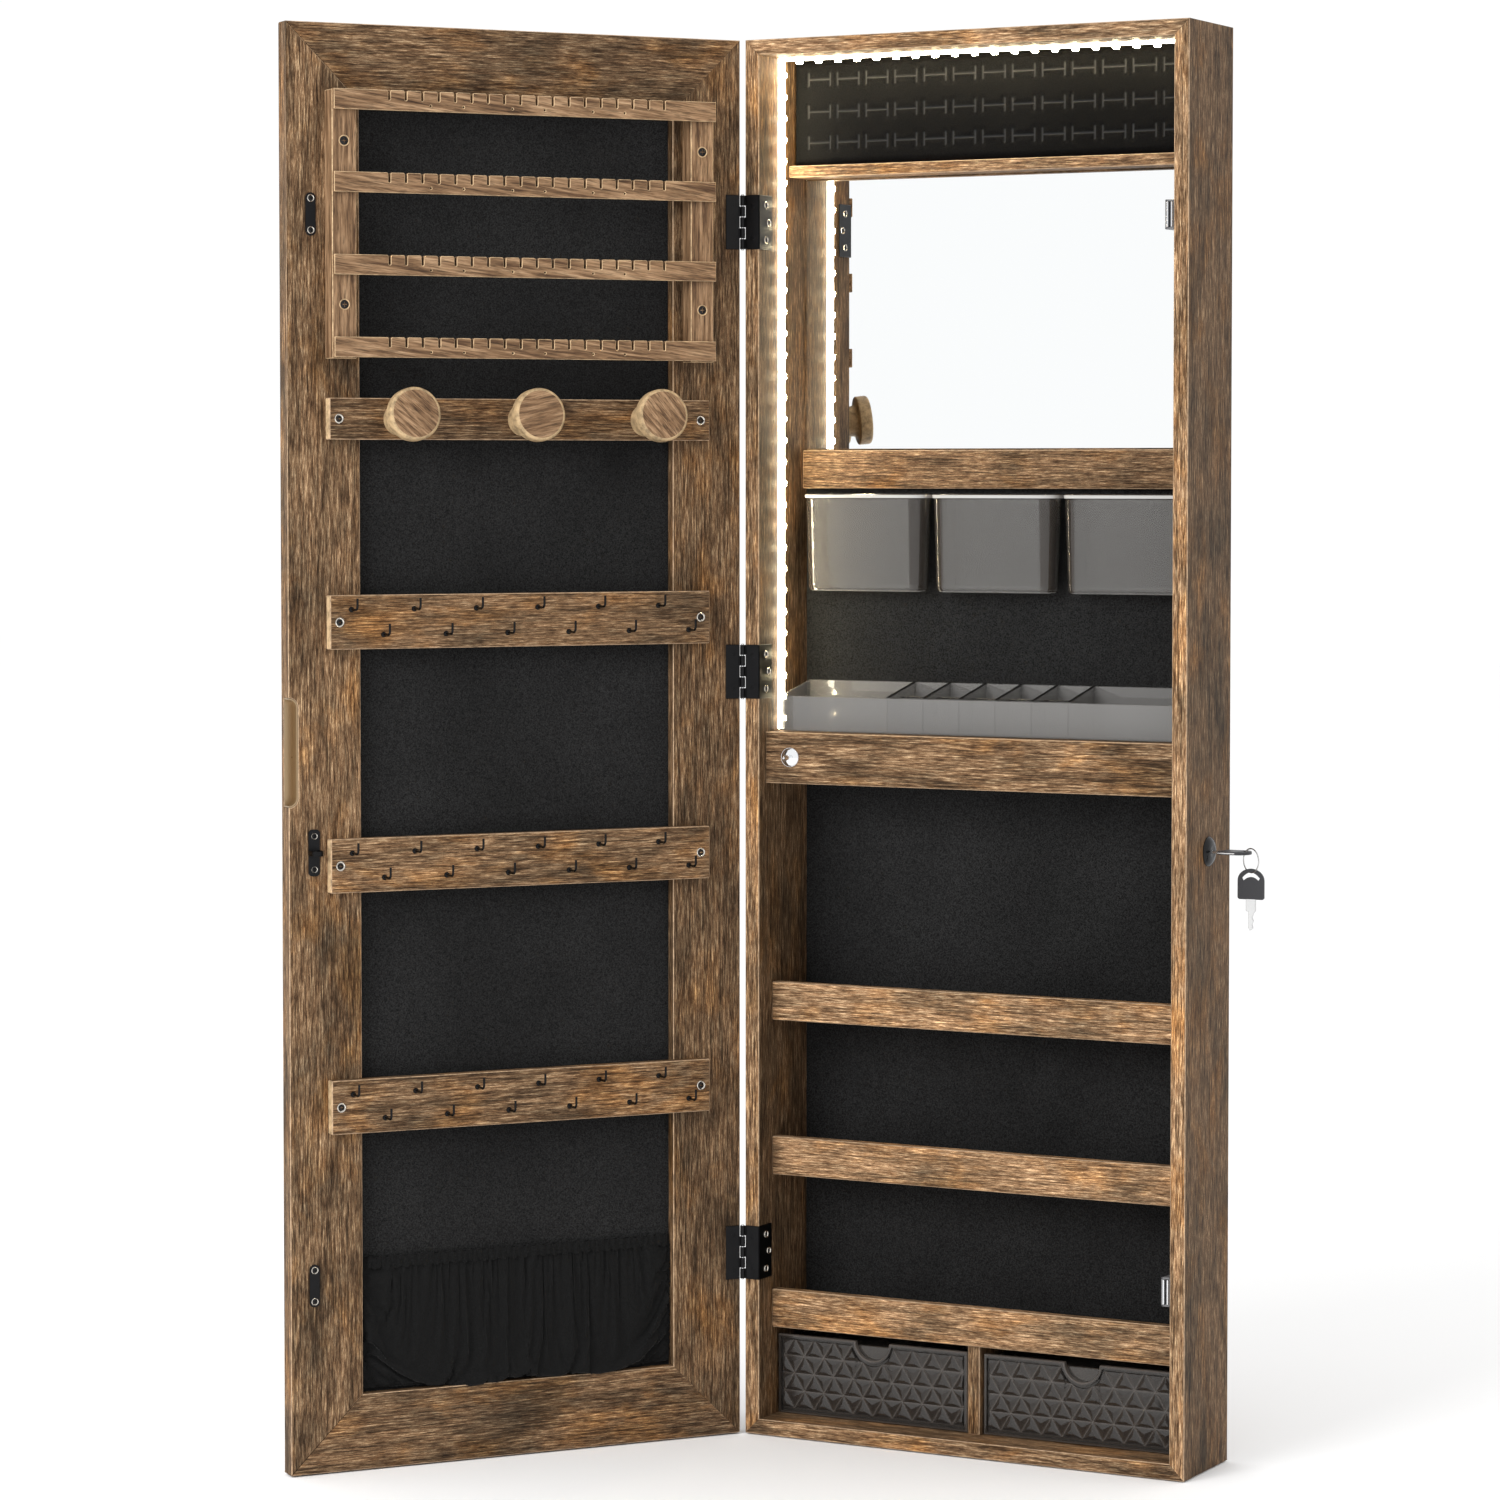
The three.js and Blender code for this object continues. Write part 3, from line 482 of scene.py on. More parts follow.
def slit_distance(x, z, low, high):
    """Distance from the nearest cut: each slit is a level line with a short upright tick at both ends."""
    nearest = np.full(x.shape, 1.0)
    count = int((high[0] - low[0]) / SLIT_PITCH)
    for row in SLIT_ROWS:
        for k in range(count):
            middle = (low[0] + high[0]) / 2 + (k - (count - 1) / 2) * SLIT_PITCH
            nearest = np.minimum(nearest, box_distance(x, z, middle, row, SLIT_LENGTH / 2, 0))
            for end in (-1, 1):
                tick = middle + end * SLIT_LENGTH / 2
                nearest = np.minimum(nearest, box_distance(x, z, tick, row, 0, TICK_LENGTH / 2))
    return nearest


def cushion_face(x, z, low, high):
    """Height of the cushion's front: rounded off to the rim as a quarter circle, swelling a little between
    the rows, and sunk along the slits by a steep bell curve of the distance from them."""
    inside = np.minimum.reduce([x - low[0], high[0] - x, z - low[2], high[2] - z])
    edge = np.clip(inside / CUSHION_ROUND, 0, 1)
    height = -CUSHION_ROUND * (1 - np.sqrt(1 - (1 - edge) ** 2))
    slit = slit_distance(x, z, low, high)
    swell = SWELL * np.clip(slit / 0.004, 0, 1)
    return height + swell - SLIT_DEEP * np.exp(-((slit / (SLIT_WIDTH / 2)) ** 4))


def grid_faces(rows, columns):
    """Quads of a grid of points."""
    i, j = np.meshgrid(np.arange(rows - 1), np.arange(columns - 1), indexing="ij")
    a = (i * columns + j).ravel()
    return np.stack([a, a + 1, a + columns + 1, a + columns], 1).tolist()


def rim_of(rows, columns):
    """The indices round the edge of a grid, in order."""
    index = np.arange(rows * columns).reshape(rows, columns)
    return np.concatenate([index[0, :-1], index[:-1, -1], index[-1, :0:-1], index[:0:-1, 0]])


def rim_walls(rim, behind):
    """Quads that join the edge of a grid to the points behind it."""
    return np.stack([rim, np.roll(rim, -1), np.roll(behind, -1), behind], 1).tolist()


def shell_of(front, back):
    """A grid of points and another behind it, closed round their edge."""
    rows, columns = front.shape[:2]
    count = rows * columns
    faces = grid_faces(rows, columns)
    rim = rim_of(rows, columns)
    faces += [[count + i for i in face[::-1]] for face in faces] + rim_walls(rim, rim + count)
    return np.concatenate([front.reshape(-1, 3), back.reshape(-1, 3)]), faces


def slab_with_face(low, high, front, step):
    """A slab between two corners whose front is a grid of heights towards -y, closed behind by one face."""
    across = np.linspace(low[0], high[0], int((high[0] - low[0]) / step) + 1)
    up = np.linspace(low[2], high[2], int((high[2] - low[2]) / step) + 1)
    x, z = np.meshgrid(across, up)
    face = np.stack([x, low[1] - front(x, z), z], -1)
    rim = rim_of(*x.shape)
    back = face.reshape(-1, 3)[rim].copy()
    back[:, 1] = high[1]
    behind = x.size + np.arange(len(rim))
    points = np.concatenate([face.reshape(-1, 3), back])
    return points, grid_faces(*x.shape) + rim_walls(rim, behind) + [behind.tolist()]


def mark(made, name, values):
    """Gives a piece's points an attribute that its material reads."""
    made.data.attributes.new(name, "FLOAT", "POINT").data.foreach_set("value", values)


CUSHION_STEP = 0.00075
low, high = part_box("ring_cushion")
points, faces = slab_with_face(low, high, lambda x, z: cushion_face(x, z, low, high) - SWELL, CUSHION_STEP)
# Painted shade: the cushion's pile is made far darker than the door's, for the shade inside the case.
cushion = piece("ring_cushion_pad", points, faces, [velvet("cushion_velvet", marks="cut", tone_and_painted_light=0.24)], "case",
                ["ring_cushion"], smooth=50)
from_slit = slit_distance(points[:, 0], points[:, 2], low, high)
mark(cushion, "cut", np.exp(-((from_slit / (SLIT_WIDTH / 2)) ** 2)))

# Each piece's tone is painted light and shade, set piece by piece.
for name, kind, along, seed, tone_and_painted_light in (
    ("ring_shelf", "_board", "x", 3.1, 1.2),
    ("bin_rail", "_strip", "x", 5.3, 0.97),
    ("drawer_divider", "_board", "z", 8.2, 1.0),
):
    points, faces, material_of = plank(*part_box(name), along)
    wrap = foil("foil_" + name, along, seed=seed, tone_and_painted_light=tone_and_painted_light)
    piece(name + kind, points, faces, [wrap, foil_edge, foil_edge], "case", [name], material_of)


def flat_piece(name, outlines, thickness, bevel, place, materials, body, stands_for=()):
    """A plate cut to outlines in (u, v), the first its edge and the others holes, with its rims bevelled.
    place takes (u, v, across) to the cabinet. Bevels get the second material, if there is one."""
    points, faces, kinds = plate_mesh(outlines, thickness, bevel)
    kinds = kinds if len(materials) > 1 else None
    return piece(name, place(points), faces, materials, body, stands_for, kinds)


def plate_mesh(outlines, thickness, bevel):
    """Points, faces and kinds of a flat plate with bevelled rims, drawn as a filled 2-D curve; kind 1 is a
    bevel."""
    curve = bpy.data.curves.new("outline", "CURVE")
    curve.dimensions = "2D"
    curve.fill_mode = "BOTH"
    curve.extrude = thickness / 2 - bevel
    curve.bevel_depth = bevel
    curve.bevel_resolution = 0
    curve.offset = -bevel
    for outline in outlines:
        spline = curve.splines.new("POLY")
        spline.points.add(len(outline) - 1)
        flat = np.column_stack([outline, np.zeros(len(outline)), np.ones(len(outline))])
        spline.points.foreach_set("co", flat.ravel())
        spline.use_cyclic_u = True
    holder = bpy.data.objects.new("outline", curve)
    mesh = bpy.data.meshes.new_from_object(holder)
    bpy.data.objects.remove(holder)
    bpy.data.curves.remove(curve)
    solid = bmesh.new()
    solid.from_mesh(mesh)
    bmesh.ops.remove_doubles(solid, verts=solid.verts, dist=1e-6)
    bmesh.ops.recalc_face_normals(solid, faces=solid.faces)
    points = np.array([v.co for v in solid.verts])
    faces = [[v.index for v in face.verts] for face in solid.faces]
    kinds = np.array([int(0.2 < abs(face.normal.z) < 0.95) for face in solid.faces])
    solid.free()
    bpy.data.meshes.remove(mesh)
    return points, faces, kinds


def circle(u, v, radius, sides=12):
    turn = np.linspace(0, 2 * np.pi, sides, endpoint=False)
    return np.stack([u + radius * np.cos(turn), v + radius * np.sin(turn)], 1)


RAIL_THICK = 0.009
SHELF_FLOOR = 0.006
FASCIA_THICK = 0.012
FASCIA_PLAY = 0.0002  # kept free under the sliding tray
MAIN_BOARD = (0.0275, 0.0395)  # above the fascia's foot
PIN_PLAY = 0.002


def joined(*parts):
    """Several (points, faces, materials) as one, in the order given."""
    points, faces, kinds = [], [], []
    count = 0
    for some, theirs, kind in parts:
        flat = np.asarray(some, float).reshape(-1, 3)
        points.append(flat)
        faces += [[count + i for i in face] for face in theirs]
        kinds.append(kind)
        count += len(flat)
    return np.concatenate(points), faces, np.concatenate(kinds)


def shelf(name, thick, floor_low, floor_high, tone_and_painted_light, bore=None):
    """A front rail with a floor behind it, at heights above the rail's foot. bore is the (x, z, radius) of a
    hole through the rail."""
    low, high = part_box(name)
    rail = plank(low, (high[0], low[1] + thick, high[2]), "x")
    if bore:
        edge = rectangle(low[0], high[0], low[2], high[2] - FASCIA_PLAY)
        flat, faces, kinds = plate_mesh([edge, circle(*bore, 24)], thick, EDGE)
        rail = np.column_stack([flat[:, 0], low[1] + thick / 2 + flat[:, 2], flat[:, 1]]), faces, kinds
    base = plank((low[0], low[1] + thick, low[2] + floor_low), (high[0], high[1], low[2] + floor_high), "x")
    points, faces, material_of = joined(rail, base)
    wrap = foil("foil_" + name, "x", seed=low[2] * 40, tone_and_painted_light=tone_and_painted_light)
    piece(name + "_boards", points, faces, [wrap, foil_edge, foil_edge], "case", [name], material_of)


plunger_low, plunger_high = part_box("switch_plunger")
plunger_x, plunger_z = (plunger_low[0] + plunger_high[0]) / 2, (plunger_low[2] + plunger_high[2]) / 2
plunger_radius = (plunger_high[0] - plunger_low[0]) / 2
# The fascia's and the rails' tones are painted light and shade, set piece by piece.
shelf("main_shelf", FASCIA_THICK, *MAIN_BOARD, 0.95, (plunger_x, plunger_z, plunger_radius + PIN_PLAY))
for name in ("upper_shelf", "lower_shelf", "drawer_shelf"):
    shelf(name, RAIL_THICK, 0, SHELF_FLOOR, 1.55)

# ---------------------------------------------------------------- lights and their door switch
# A white LED strip runs up the left wall and along under the top, a chip every 16.7 mm under clear silicone.
# The battery box hides behind the fascia; a chrome bezel and a pointed plunger stand out in front.

LED_PITCH = 0.0167
RIBBON_THICK = 0.002
RIBBON_SOFT = 0.0004
CHIP_HALF = 0.0021
CHIP_RISE = 0.0026
CHIP_SOFT = 0.0005


def glow(name, colour, strength):
    """A lit surface: clear silicone over white, shining evenly."""
    material, tree, bsdf = plain(name, (0.9, 0.9, 0.88), 0.35)
    bsdf.inputs["Emission Color"].default_value = (*colour, 1)
    bsdf.inputs["Emission Strength"].default_value = strength
    return material


low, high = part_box("led_strip")
middle_y = (low[1] + high[1]) / 2
wall_face, top_face = low[0] + RIBBON_THICK, high[2] - RIBBON_THICK
wall_run = plank(low, (wall_face, high[1], high[2]), "z", RIBBON_SOFT)
top_run = plank((wall_face, low[1], top_face), high, "x", RIBBON_SOFT)
chips = []
for z in np.arange(low[2] + LED_PITCH / 2, high[2] - LED_PITCH / 2, LED_PITCH):
    chips.append(plank((wall_face, middle_y - CHIP_HALF, z - CHIP_HALF),
                       (wall_face + CHIP_RISE, middle_y + CHIP_HALF, z + CHIP_HALF), "z", CHIP_SOFT))
for x in np.arange(low[0] + LED_PITCH, high[0] - LED_PITCH / 2, LED_PITCH):
    chips.append(plank((x - CHIP_HALF, middle_y - CHIP_HALF, top_face - CHIP_RISE),
                       (x + CHIP_HALF, middle_y + CHIP_HALF, top_face), "x", CHIP_SOFT))
points, faces, _ = joined(wall_run, top_run)
ribbon_glow = glow("led_ribbon_glow", (1.0, 0.91, 0.74), 19.0)
piece("led_ribbon", points, faces, [ribbon_glow], "case", ["led_strip"])
points, faces, _ = joined(*chips)
piece("led_chips", points, faces, [glow("led_chip_glow", (1.0, 0.82, 0.48), 105.0)], "case")


def lathe(profile, centre, axis, sides=48):
    """A profile of (radius, distance) pairs turned about an axis through a centre. It starts and ends at
    radius 0, where a point closes it."""
    profile = np.asarray(profile, float)
    angle = np.linspace(0, 2 * np.pi, sides, endpoint=False)
    axis = np.asarray(axis, float) / np.linalg.norm(axis)
    side = np.cross(axis, (0.3, 0.2, 1.0) if abs(axis[2]) < 0.9 else (1.0, 0.0, 0.0))
    side /= np.linalg.norm(side)
    other = np.cross(axis, side)
    around = np.cos(angle)[:, None] * side + np.sin(angle)[:, None] * other
    body = profile[1:-1]
    rings = np.asarray(centre) + body[:, 1, None, None] * axis + body[:, 0, None, None] * around
    tips = np.asarray(centre) + profile[[0, -1], 1, None] * axis
    i = np.arange(sides)
    j = np.roll(i, -1)
    starts = np.arange(len(body) - 1)[:, None] * sides
    quads = np.stack([starts + i, starts + j, starts + sides + j, starts + sides + i], -1).reshape(-1, 4)
    first, last = len(body) * sides, len(body) * sides + 1
    top = (len(body) - 1) * sides
    fans = [[first, b, a] for a, b in zip(i, j)] + [[last, top + a, top + b] for a, b in zip(i, j)]
    points = np.concatenate([rings.reshape(-1, 3), tips])
    faces = quads.tolist() + [[int(c) for c in fan] for fan in fans]
    return points, faces, np.zeros(len(faces), int)


TO_BACK = (0, 1, 0)  # into the case, and out of the inner face of the shut door
chrome = metal("chrome", (0.86, 0.87, 0.88), 0.08)
BEZEL_RADIUS = 0.0078
BEZEL_RISE = 0.0028
fascia_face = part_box("main_shelf")[0][1]
bezel = [(0, 0.001), (BEZEL_RADIUS, 0.001), (BEZEL_RADIUS, -0.0006), (BEZEL_RADIUS - 0.0007, -0.0016),
         (BEZEL_RADIUS - 0.0022, -0.0024), (plunger_radius + 0.0004, -BEZEL_RISE), (0, -BEZEL_RISE)]
points, faces, _ = lathe(bezel, (plunger_x, fascia_face, plunger_z), TO_BACK)
piece("switch_bezel", points, faces, [chrome], "case", smooth=35)
barrel_end = plunger_high[1] - plunger_low[1] - 0.0005
pin = [(0, 0), (0.0007, 0.0003), (0.0013, 0.0012), (plunger_radius, 0.0046), (plunger_radius, barrel_end),
       (0, barrel_end)]
points, faces, _ = lathe(pin, (plunger_x, plunger_low[1], plunger_z), TO_BACK)
piece("plunger_pin", points, faces, [chrome], "plunger", ["switch_plunger"], smooth=35)

finish("battery_box", grained("battery_box_plastic", (0.55, 0.55, 0.56), 0.5, 1800, 0.2))

# ---------------------------------------------------------------- magnetic catches
# Each catch is a grey housing screwed to the right wall, with a black magnet between two steel pole plates.

POLE = 0.0014
CATCH_WALL = 0.0016
CATCH_BACK = 0.004
CATCH_SOFT = 0.0004
MAGNET_SOFT = 0.0003
catch_plastic = grained("catch_plastic", (0.15, 0.15, 0.155), 0.45, 1500, 0.2)
magnet = grained("magnet", (0.02, 0.02, 0.022), 0.6, 2200, 0.4)
steel = metal("steel", (0.75, 0.76, 0.78), 0.22)
for name in ("magnetic_catch_upper", "magnetic_catch_lower"):
    low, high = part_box(name)
    front = low[1] + 0.0015  # the pole plates stand this far proud
    corner = (low[0], front, low[2])
    points, faces, _ = joined(
        plank(corner, (low[0] + CATCH_WALL, high[1], high[2]), "z", CATCH_SOFT),
        plank((high[0] - CATCH_WALL, front, low[2]), high, "z", CATCH_SOFT),
        plank(corner, (high[0], high[1], low[2] + CATCH_WALL), "x", CATCH_SOFT),
        plank((low[0], front, high[2] - CATCH_WALL), high, "x", CATCH_SOFT),
        plank((low[0], high[1] - CATCH_BACK, low[2]), high, "z", CATCH_SOFT),
    )
    piece(name + "_housing", points, faces, [catch_plastic], "case", [name])
    foot, back, top = low[2] + CATCH_WALL, high[1] - CATCH_BACK, high[2] - CATCH_WALL
    left, right = low[0] + CATCH_WALL, high[0] - CATCH_WALL - POLE
    points, faces, _ = plank((left + POLE, front + 0.0005, foot), (right, back, top), "z", MAGNET_SOFT)
    piece(name + "_magnet", points, faces, [magnet], "case")
    plates = [plank((x, low[1], foot), (x + POLE, back, top), "z", MAGNET_SOFT) for x in (left, right)]
    points, faces, _ = joined(*plates)
    piece(name + "_poles", points, faces, [steel], "case")

# ---------------------------------------------------------------- bins, tray and drawers
# All are moulded in clear smoked plastic. The bins have round corners and a rolled rim; the tray is an open
# box with thin dividers; the drawer fronts are moulded with rows of pyramids, with a half-round finger notch.


def smoked(name, tint, opacity, roughness=0.06, specular=0.7, ridges=None):
    """Smoked plastic: a grey tint that lets through some of what is behind it, under a glossy skin. ridges
    names an attribute that marks moulded edges, where the tint is painted lighter as a highlight."""
    material, tree, bsdf = plain(name, tint, roughness, specular=specular)
    bsdf.inputs["Alpha"].default_value = opacity
    if ridges:
        lit = node(tree, "Attribute", attribute_name=ridges)
        edge = tuple(min(1.0, 4.5 * c) for c in tint)
        link(tree, blend_colours(tree, "MIX", lit.outputs["Fac"], tint, edge), bsdf.inputs["Base Color"])
    drifting_gloss(tree, bsdf, 25, 2, 0.7 * roughness, 1.4 * roughness)
    return material


CORNER_POINTS = 8


def round_rectangle(x0, x1, y0, y1, radius, per_corner=CORNER_POINTS):
    """A counter-clockwise outline with quarter-circle corners."""
    turn = np.linspace(0, np.pi / 2, per_corner)
    arc = radius * np.stack([np.cos(turn), np.sin(turn)], 1)
    spin = np.array([[0, -1], [1, 0]])
    centres = [(x1 - radius, y1 - radius), (x0 + radius, y1 - radius),
               (x0 + radius, y0 + radius), (x1 - radius, y0 + radius)]
    parts = []
    for centre in centres:
        parts.append(arc + centre)
        arc = arc @ spin.T
    return np.concatenate(parts)


def stacked_rings(low, high, stack, radius_at):
    """A round-cornered ring for each (distance in, height) of a stack; radius_at gives its corner radius."""
    rings = []
    for inward, height in stack:
        sides = low[0] + inward, high[0] - inward, low[1] + inward, high[1] - inward
        outline = round_rectangle(*sides, radius_at(inward))
        rings.append(np.column_stack([outline, np.full(len(outline), low[2] + height)]))
    return np.array(rings)


def bin_shell(low, high):
    """Rings stacked from the floor up the outside, over the rim and down the inside. The kind of a face is
    0 on a wall, 1 on the rim and the floor's edge, which are painted light as a highlight, and 2 on the
    corners and the lip, which are painted dark as shade."""
    wall, radius, draft, rim = 0.0018, 0.0085, 0.0022, 0.0012
    tall = high[2] - low[2]
    stack = [(0.003, 0.0), (0.0012, 0.0006), (0.0002, 0.0028), (0.0, 0.006), (-draft, tall - 0.006),
             (-draft, tall - 0.004), (-draft - rim, tall - 0.0032), (-draft - rim, tall - 0.0008),
             (-draft - rim * 0.4, tall), (wall - draft - 0.0004, tall), (wall - draft, tall - 0.0012),
             (wall, 0.006), (wall + 0.001, wall + 0.001), (wall + 0.004, wall)]
    fit = draft + rim
    stack = [(fit + inward, height) for inward, height in stack]
    rings = stacked_rings(low, high, stack, lambda edge: max(radius - edge + fit, 0.004))
    levels, around = rings.shape[:2]
    kinds = np.zeros((levels - 1, around), int)
    kinds[:, np.arange(around) % CORNER_POINTS != CORNER_POINTS - 1] = 2
    kinds[[5, 7, 8, 9]] = 2
    kinds[[0, 6]] = 1
    return rings, loft_faces(levels, around), np.append(kinds.ravel(), [0, 0])


# A wall lets much of the light through; the rims are painted light as a highlight, and the round corners are
# painted dark as shade.
bin_wall = smoked("smoked_bin_wall", (0.125, 0.121, 0.115), 0.45)
bin_rim_highlight = smoked("smoked_bin_rim", (0.50, 0.495, 0.485), 0.85)
bin_corner_shade = smoked("smoked_bin_corner", (0.040, 0.034, 0.029), 0.72)
for name in ("bin_left", "bin_middle", "bin_right"):
    points, faces, kinds = bin_shell(*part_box(name))
    piece(name + "_shell", points, faces, [bin_wall, bin_rim_highlight, bin_corner_shade], name, [name],
          kinds, smooth=40)

finish("cosmetic_tray", smoked("smoked_tray_plastic", (0.205, 0.20, 0.193), 0.60))

# The dividers' top edges look black, drawn as painted shade: six sloping bars from front to back, and one
# along their middle.
TRAY_WALL = 0.0016
RIM_HALF = 0.0010
RIM_SUNK, RIM_PROUD = 0.0004, 0.0007
RIM_SOFT = 0.0002
TRAY_SLOPE = 0.011  # how much higher the back is
CELLS, CELL_PITCH, CELL_START = 5, 0.0305, -0.077
low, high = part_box("cosmetic_tray")
rim_foot, rim_top = high[2] - TRAY_SLOPE - RIM_SUNK, high[2] - TRAY_SLOPE + RIM_PROUD
rims = []
for i in range(CELLS + 1):
    x = CELL_START + i * CELL_PITCH
    bar, faces, kinds = plank((x - RIM_HALF, low[1] + TRAY_WALL, rim_foot),
                              (x + RIM_HALF, high[1] - TRAY_WALL, rim_top), "y", RIM_SOFT)
    bar[..., 2] += TRAY_SLOPE * (bar[..., 1] - low[1]) / (high[1] - low[1])
    rims.append((bar, faces, kinds))
middle = (low[1] + high[1]) / 2
rims.append(plank((CELL_START, middle - RIM_HALF, rim_foot),
                  (CELL_START + CELLS * CELL_PITCH, middle + RIM_HALF, rim_top), "x", RIM_SOFT))
points, faces, _ = joined(*rims)
rim_painted_shade = smoked("smoked_rim_plastic", (0.012, 0.011, 0.010), 0.92, 0.2)
piece("tray_rims", points, faces, [rim_painted_shade], "tray")

RELIEF_PITCH = 0.0171
RELIEF_ROW = 0.0138
RELIEF_DEEP = 0.0021
RELIEF_BASE = 0.0002
BORDER = 0.0042
BORDER_RISE = 0.0022
GROOVE = 0.0016  # between the border and the relief


def pyramids(x, z):
    """Height of rows of triangles, each raised to a point over its middle: the least of the distances to the
    sides of the up-pointing or down-pointing triangle that a point is in, odd rows moved on by half a pitch.
    Also how near the point is to such a side, from 1 on it to 0."""
    row = np.floor(z / RELIEF_ROW)
    rise = z / RELIEF_ROW - row
    along = x / RELIEF_PITCH + 0.5 * (row % 2)
    along = along - np.floor(along)
    off = abs(along - 0.5)
    up = off < (1 - rise) / 2
    up_height = np.minimum(rise, (1 - rise) / 2 - off) * 1.5
    down_height = np.minimum(1 - rise, rise / 2 - (0.5 - off)) * 0.9
    least = np.where(up, up_height, down_height) * 3
    return RELIEF_DEEP * np.clip(least, 0, 1), np.exp(-((least / 0.16) ** 2))


def drawer_front(low, high, notch):
    """The front panel: a grid whose top edge dips round the notch, its relief inside a raised border."""
    wall, step = 0.0022, 0.0006
    middle = (low[0] + high[0]) / 2
    base = low[1] + BORDER_RISE
    across = np.linspace(low[0], high[0], int((high[0] - low[0]) / step) + 1)
    dip = np.sqrt(np.clip(notch**2 - (across - middle) ** 2, 0, None))
    share = np.linspace(0, 1, int((high[2] - low[2]) / step) + 1)[:, None]
    z = low[2] + share * (high[2] - dip - low[2])
    x = np.broadcast_to(across, z.shape)
    from_notch = np.hypot(x - middle, z - high[2]) - notch
    rim = np.minimum.reduce([x - low[0], high[0] - x, z - low[2], high[2] - z, from_notch])
    relief, ridge = pyramids(x - middle, z - low[2] - BORDER)
    # Painted highlight: a mark along the border's rim, and more faintly along the triangles' sides, where the
    # front is painted lighter.
    ridge = np.where(rim < BORDER, np.exp(-((rim / 0.0008) ** 2)), 0.45 * ridge)
    border = BORDER_RISE - 0.0009 * np.clip(1 - rim / 0.001, 0, 1) ** 2
    height = np.where(rim < BORDER - GROOVE, border, RELIEF_BASE + relief)
    height = np.where((rim >= BORDER - GROOVE) & (rim < BORDER), 0.0, height)
    front = np.stack([x, base - height, z], -1)
    back = front.copy()
    back[..., 1] = base + wall
    return *shell_of(front, back), np.tile(ridge.ravel(), 2)


def drawer_box(low, high):
    """The open box behind the front: round-cornered rings up the outside and down the inside."""
    wall, radius, tall = 0.0018, 0.003, high[2] - low[2]
    stack = [(0.002, 0.0), (0.0, 0.002), (0.0, tall - 0.004), (wall * 0.5, tall - 0.0034),
             (wall, tall - 0.004), (wall, wall + 0.001), (wall + 0.002, wall)]
    rings = stacked_rings(low, high, stack, lambda edge: radius)
    return rings, loft_faces(*rings.shape[:2])


NOTCH_RADIUS = 0.0145
FRONT_DEEP = 0.0048
SIDE_PLAY = 0.001
front_plastic = smoked("smoked_front_plastic", (0.030, 0.026, 0.023), 0.88, 0.13, 0.6, ridges="ridge")
drawer_plastic = smoked("smoked_drawer_plastic", (0.050, 0.044, 0.039), 0.80, 0.10)
for name in ("drawer_left", "drawer_right"):
    low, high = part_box(name)
    points, faces, ridge = drawer_front(low, high, NOTCH_RADIUS)
    panel = piece(name + "_front", points, faces, [front_plastic], name, [name])
    mark(panel, "ridge", ridge)
    box_low, box_high = (low[0] + SIDE_PLAY, low[1] + FRONT_DEEP, low[2]), (high[0] - SIDE_PLAY, *high[1:])
    points, faces = drawer_box(box_low, box_high)
    piece(name + "_box", points, faces, [drawer_plastic], name, smooth=40)

# ---------------------------------------------------------------- door frame, mirror and panel
# Two stiles and two rails, 57 mm wide, mitred at the corners and grooved for the glass and the velvet board.
# Everything on the door is drawn as if it were shut and then swung open about the hinge pin.

hinge = next(joint for joint in frame["joints"] if joint["name"] == "door_hinge")
hinge_x, hinge_y = hinge["pos_m"][:2]
open_angle = math.radians(-hinge["range_deg"][0])


def swing(points, angle):
    """Points turned about the upright hinge pin, clockwise as seen from above."""
    dx, dy = points[..., 0] - hinge_x, points[..., 1] - hinge_y
    c, s = math.cos(angle), math.sin(angle)
    return np.stack([hinge_x + c * dx + s * dy, hinge_y - s * dx + c * dy, points[..., 2]], -1)


def swung(points):
    return swing(np.asarray(points, float), open_angle)


def shut_box(name):
    """Lowest and highest corner of a door node, with the door shut."""
    corners = np.array([v.co for v in frame["nodes"][name].data.vertices])
    shut = swing(corners, -open_angle)
    return shut.min(0), shut.max(0)


stile_low, stile_high = shut_box("door_stile_hinge")
door_low = np.array([stile_low[0], stile_low[1], stile_low[2]])
door_high = np.array([shut_box("door_stile_free")[1][0], stile_high[1], stile_high[2]])
inner_face = door_high[1]
frame_wide = stile_high[0] - stile_low[0]
door_section = rectangle(0, frame_wide, door_low[1], door_high[1])


def door_member(side, sign):
    """Places (in from the outside, thickness, along) on one side of the shut door, then swings it open."""
    middle_x = (door_low[0] + door_high[0]) / 2
    half = (door_high[0] - door_low[0]) / 2
    def place(p):
        inward, depth, length = p[..., 0], p[..., 1], p[..., 2]
        if side == "x":
            shut = np.stack([middle_x + sign * (half - inward), depth, length], -1)
        else:
            shut = np.stack([middle_x + length, depth, sign * (door_high[2] - inward)], -1)
        return swung(shut)
    return place


door_width, door_height = door_high[0] - door_low[0], 2 * door_high[2]
# Each member's tone is painted light and shade, set member by member.
for name, side, sign, length, grain, tone_and_painted_light in (
    ("stile_hinge", "x", -1, door_height, "z", 0.72),
    ("stile_free", "x", 1, door_height, "z", 0.90),
    ("rail_top", "z", 1, door_width, "x", 0.74),
    ("rail_bottom", "z", -1, door_width, "x", 0.88),
):
    points, faces, material_of = mitred(length, door_section, door_member(side, sign))
    wrap = foil("foil_door_" + name, grain, open_angle, seed=1.9 * sign + 2 * len(name), tone_and_painted_light=tone_and_painted_light)
    if name == "stile_free":
        free_stile_wrap = wrap
        continue
    piece("door_" + name + "_board", points, faces, [wrap, foil_edge], "door", ["door_" + name],
          material_of)

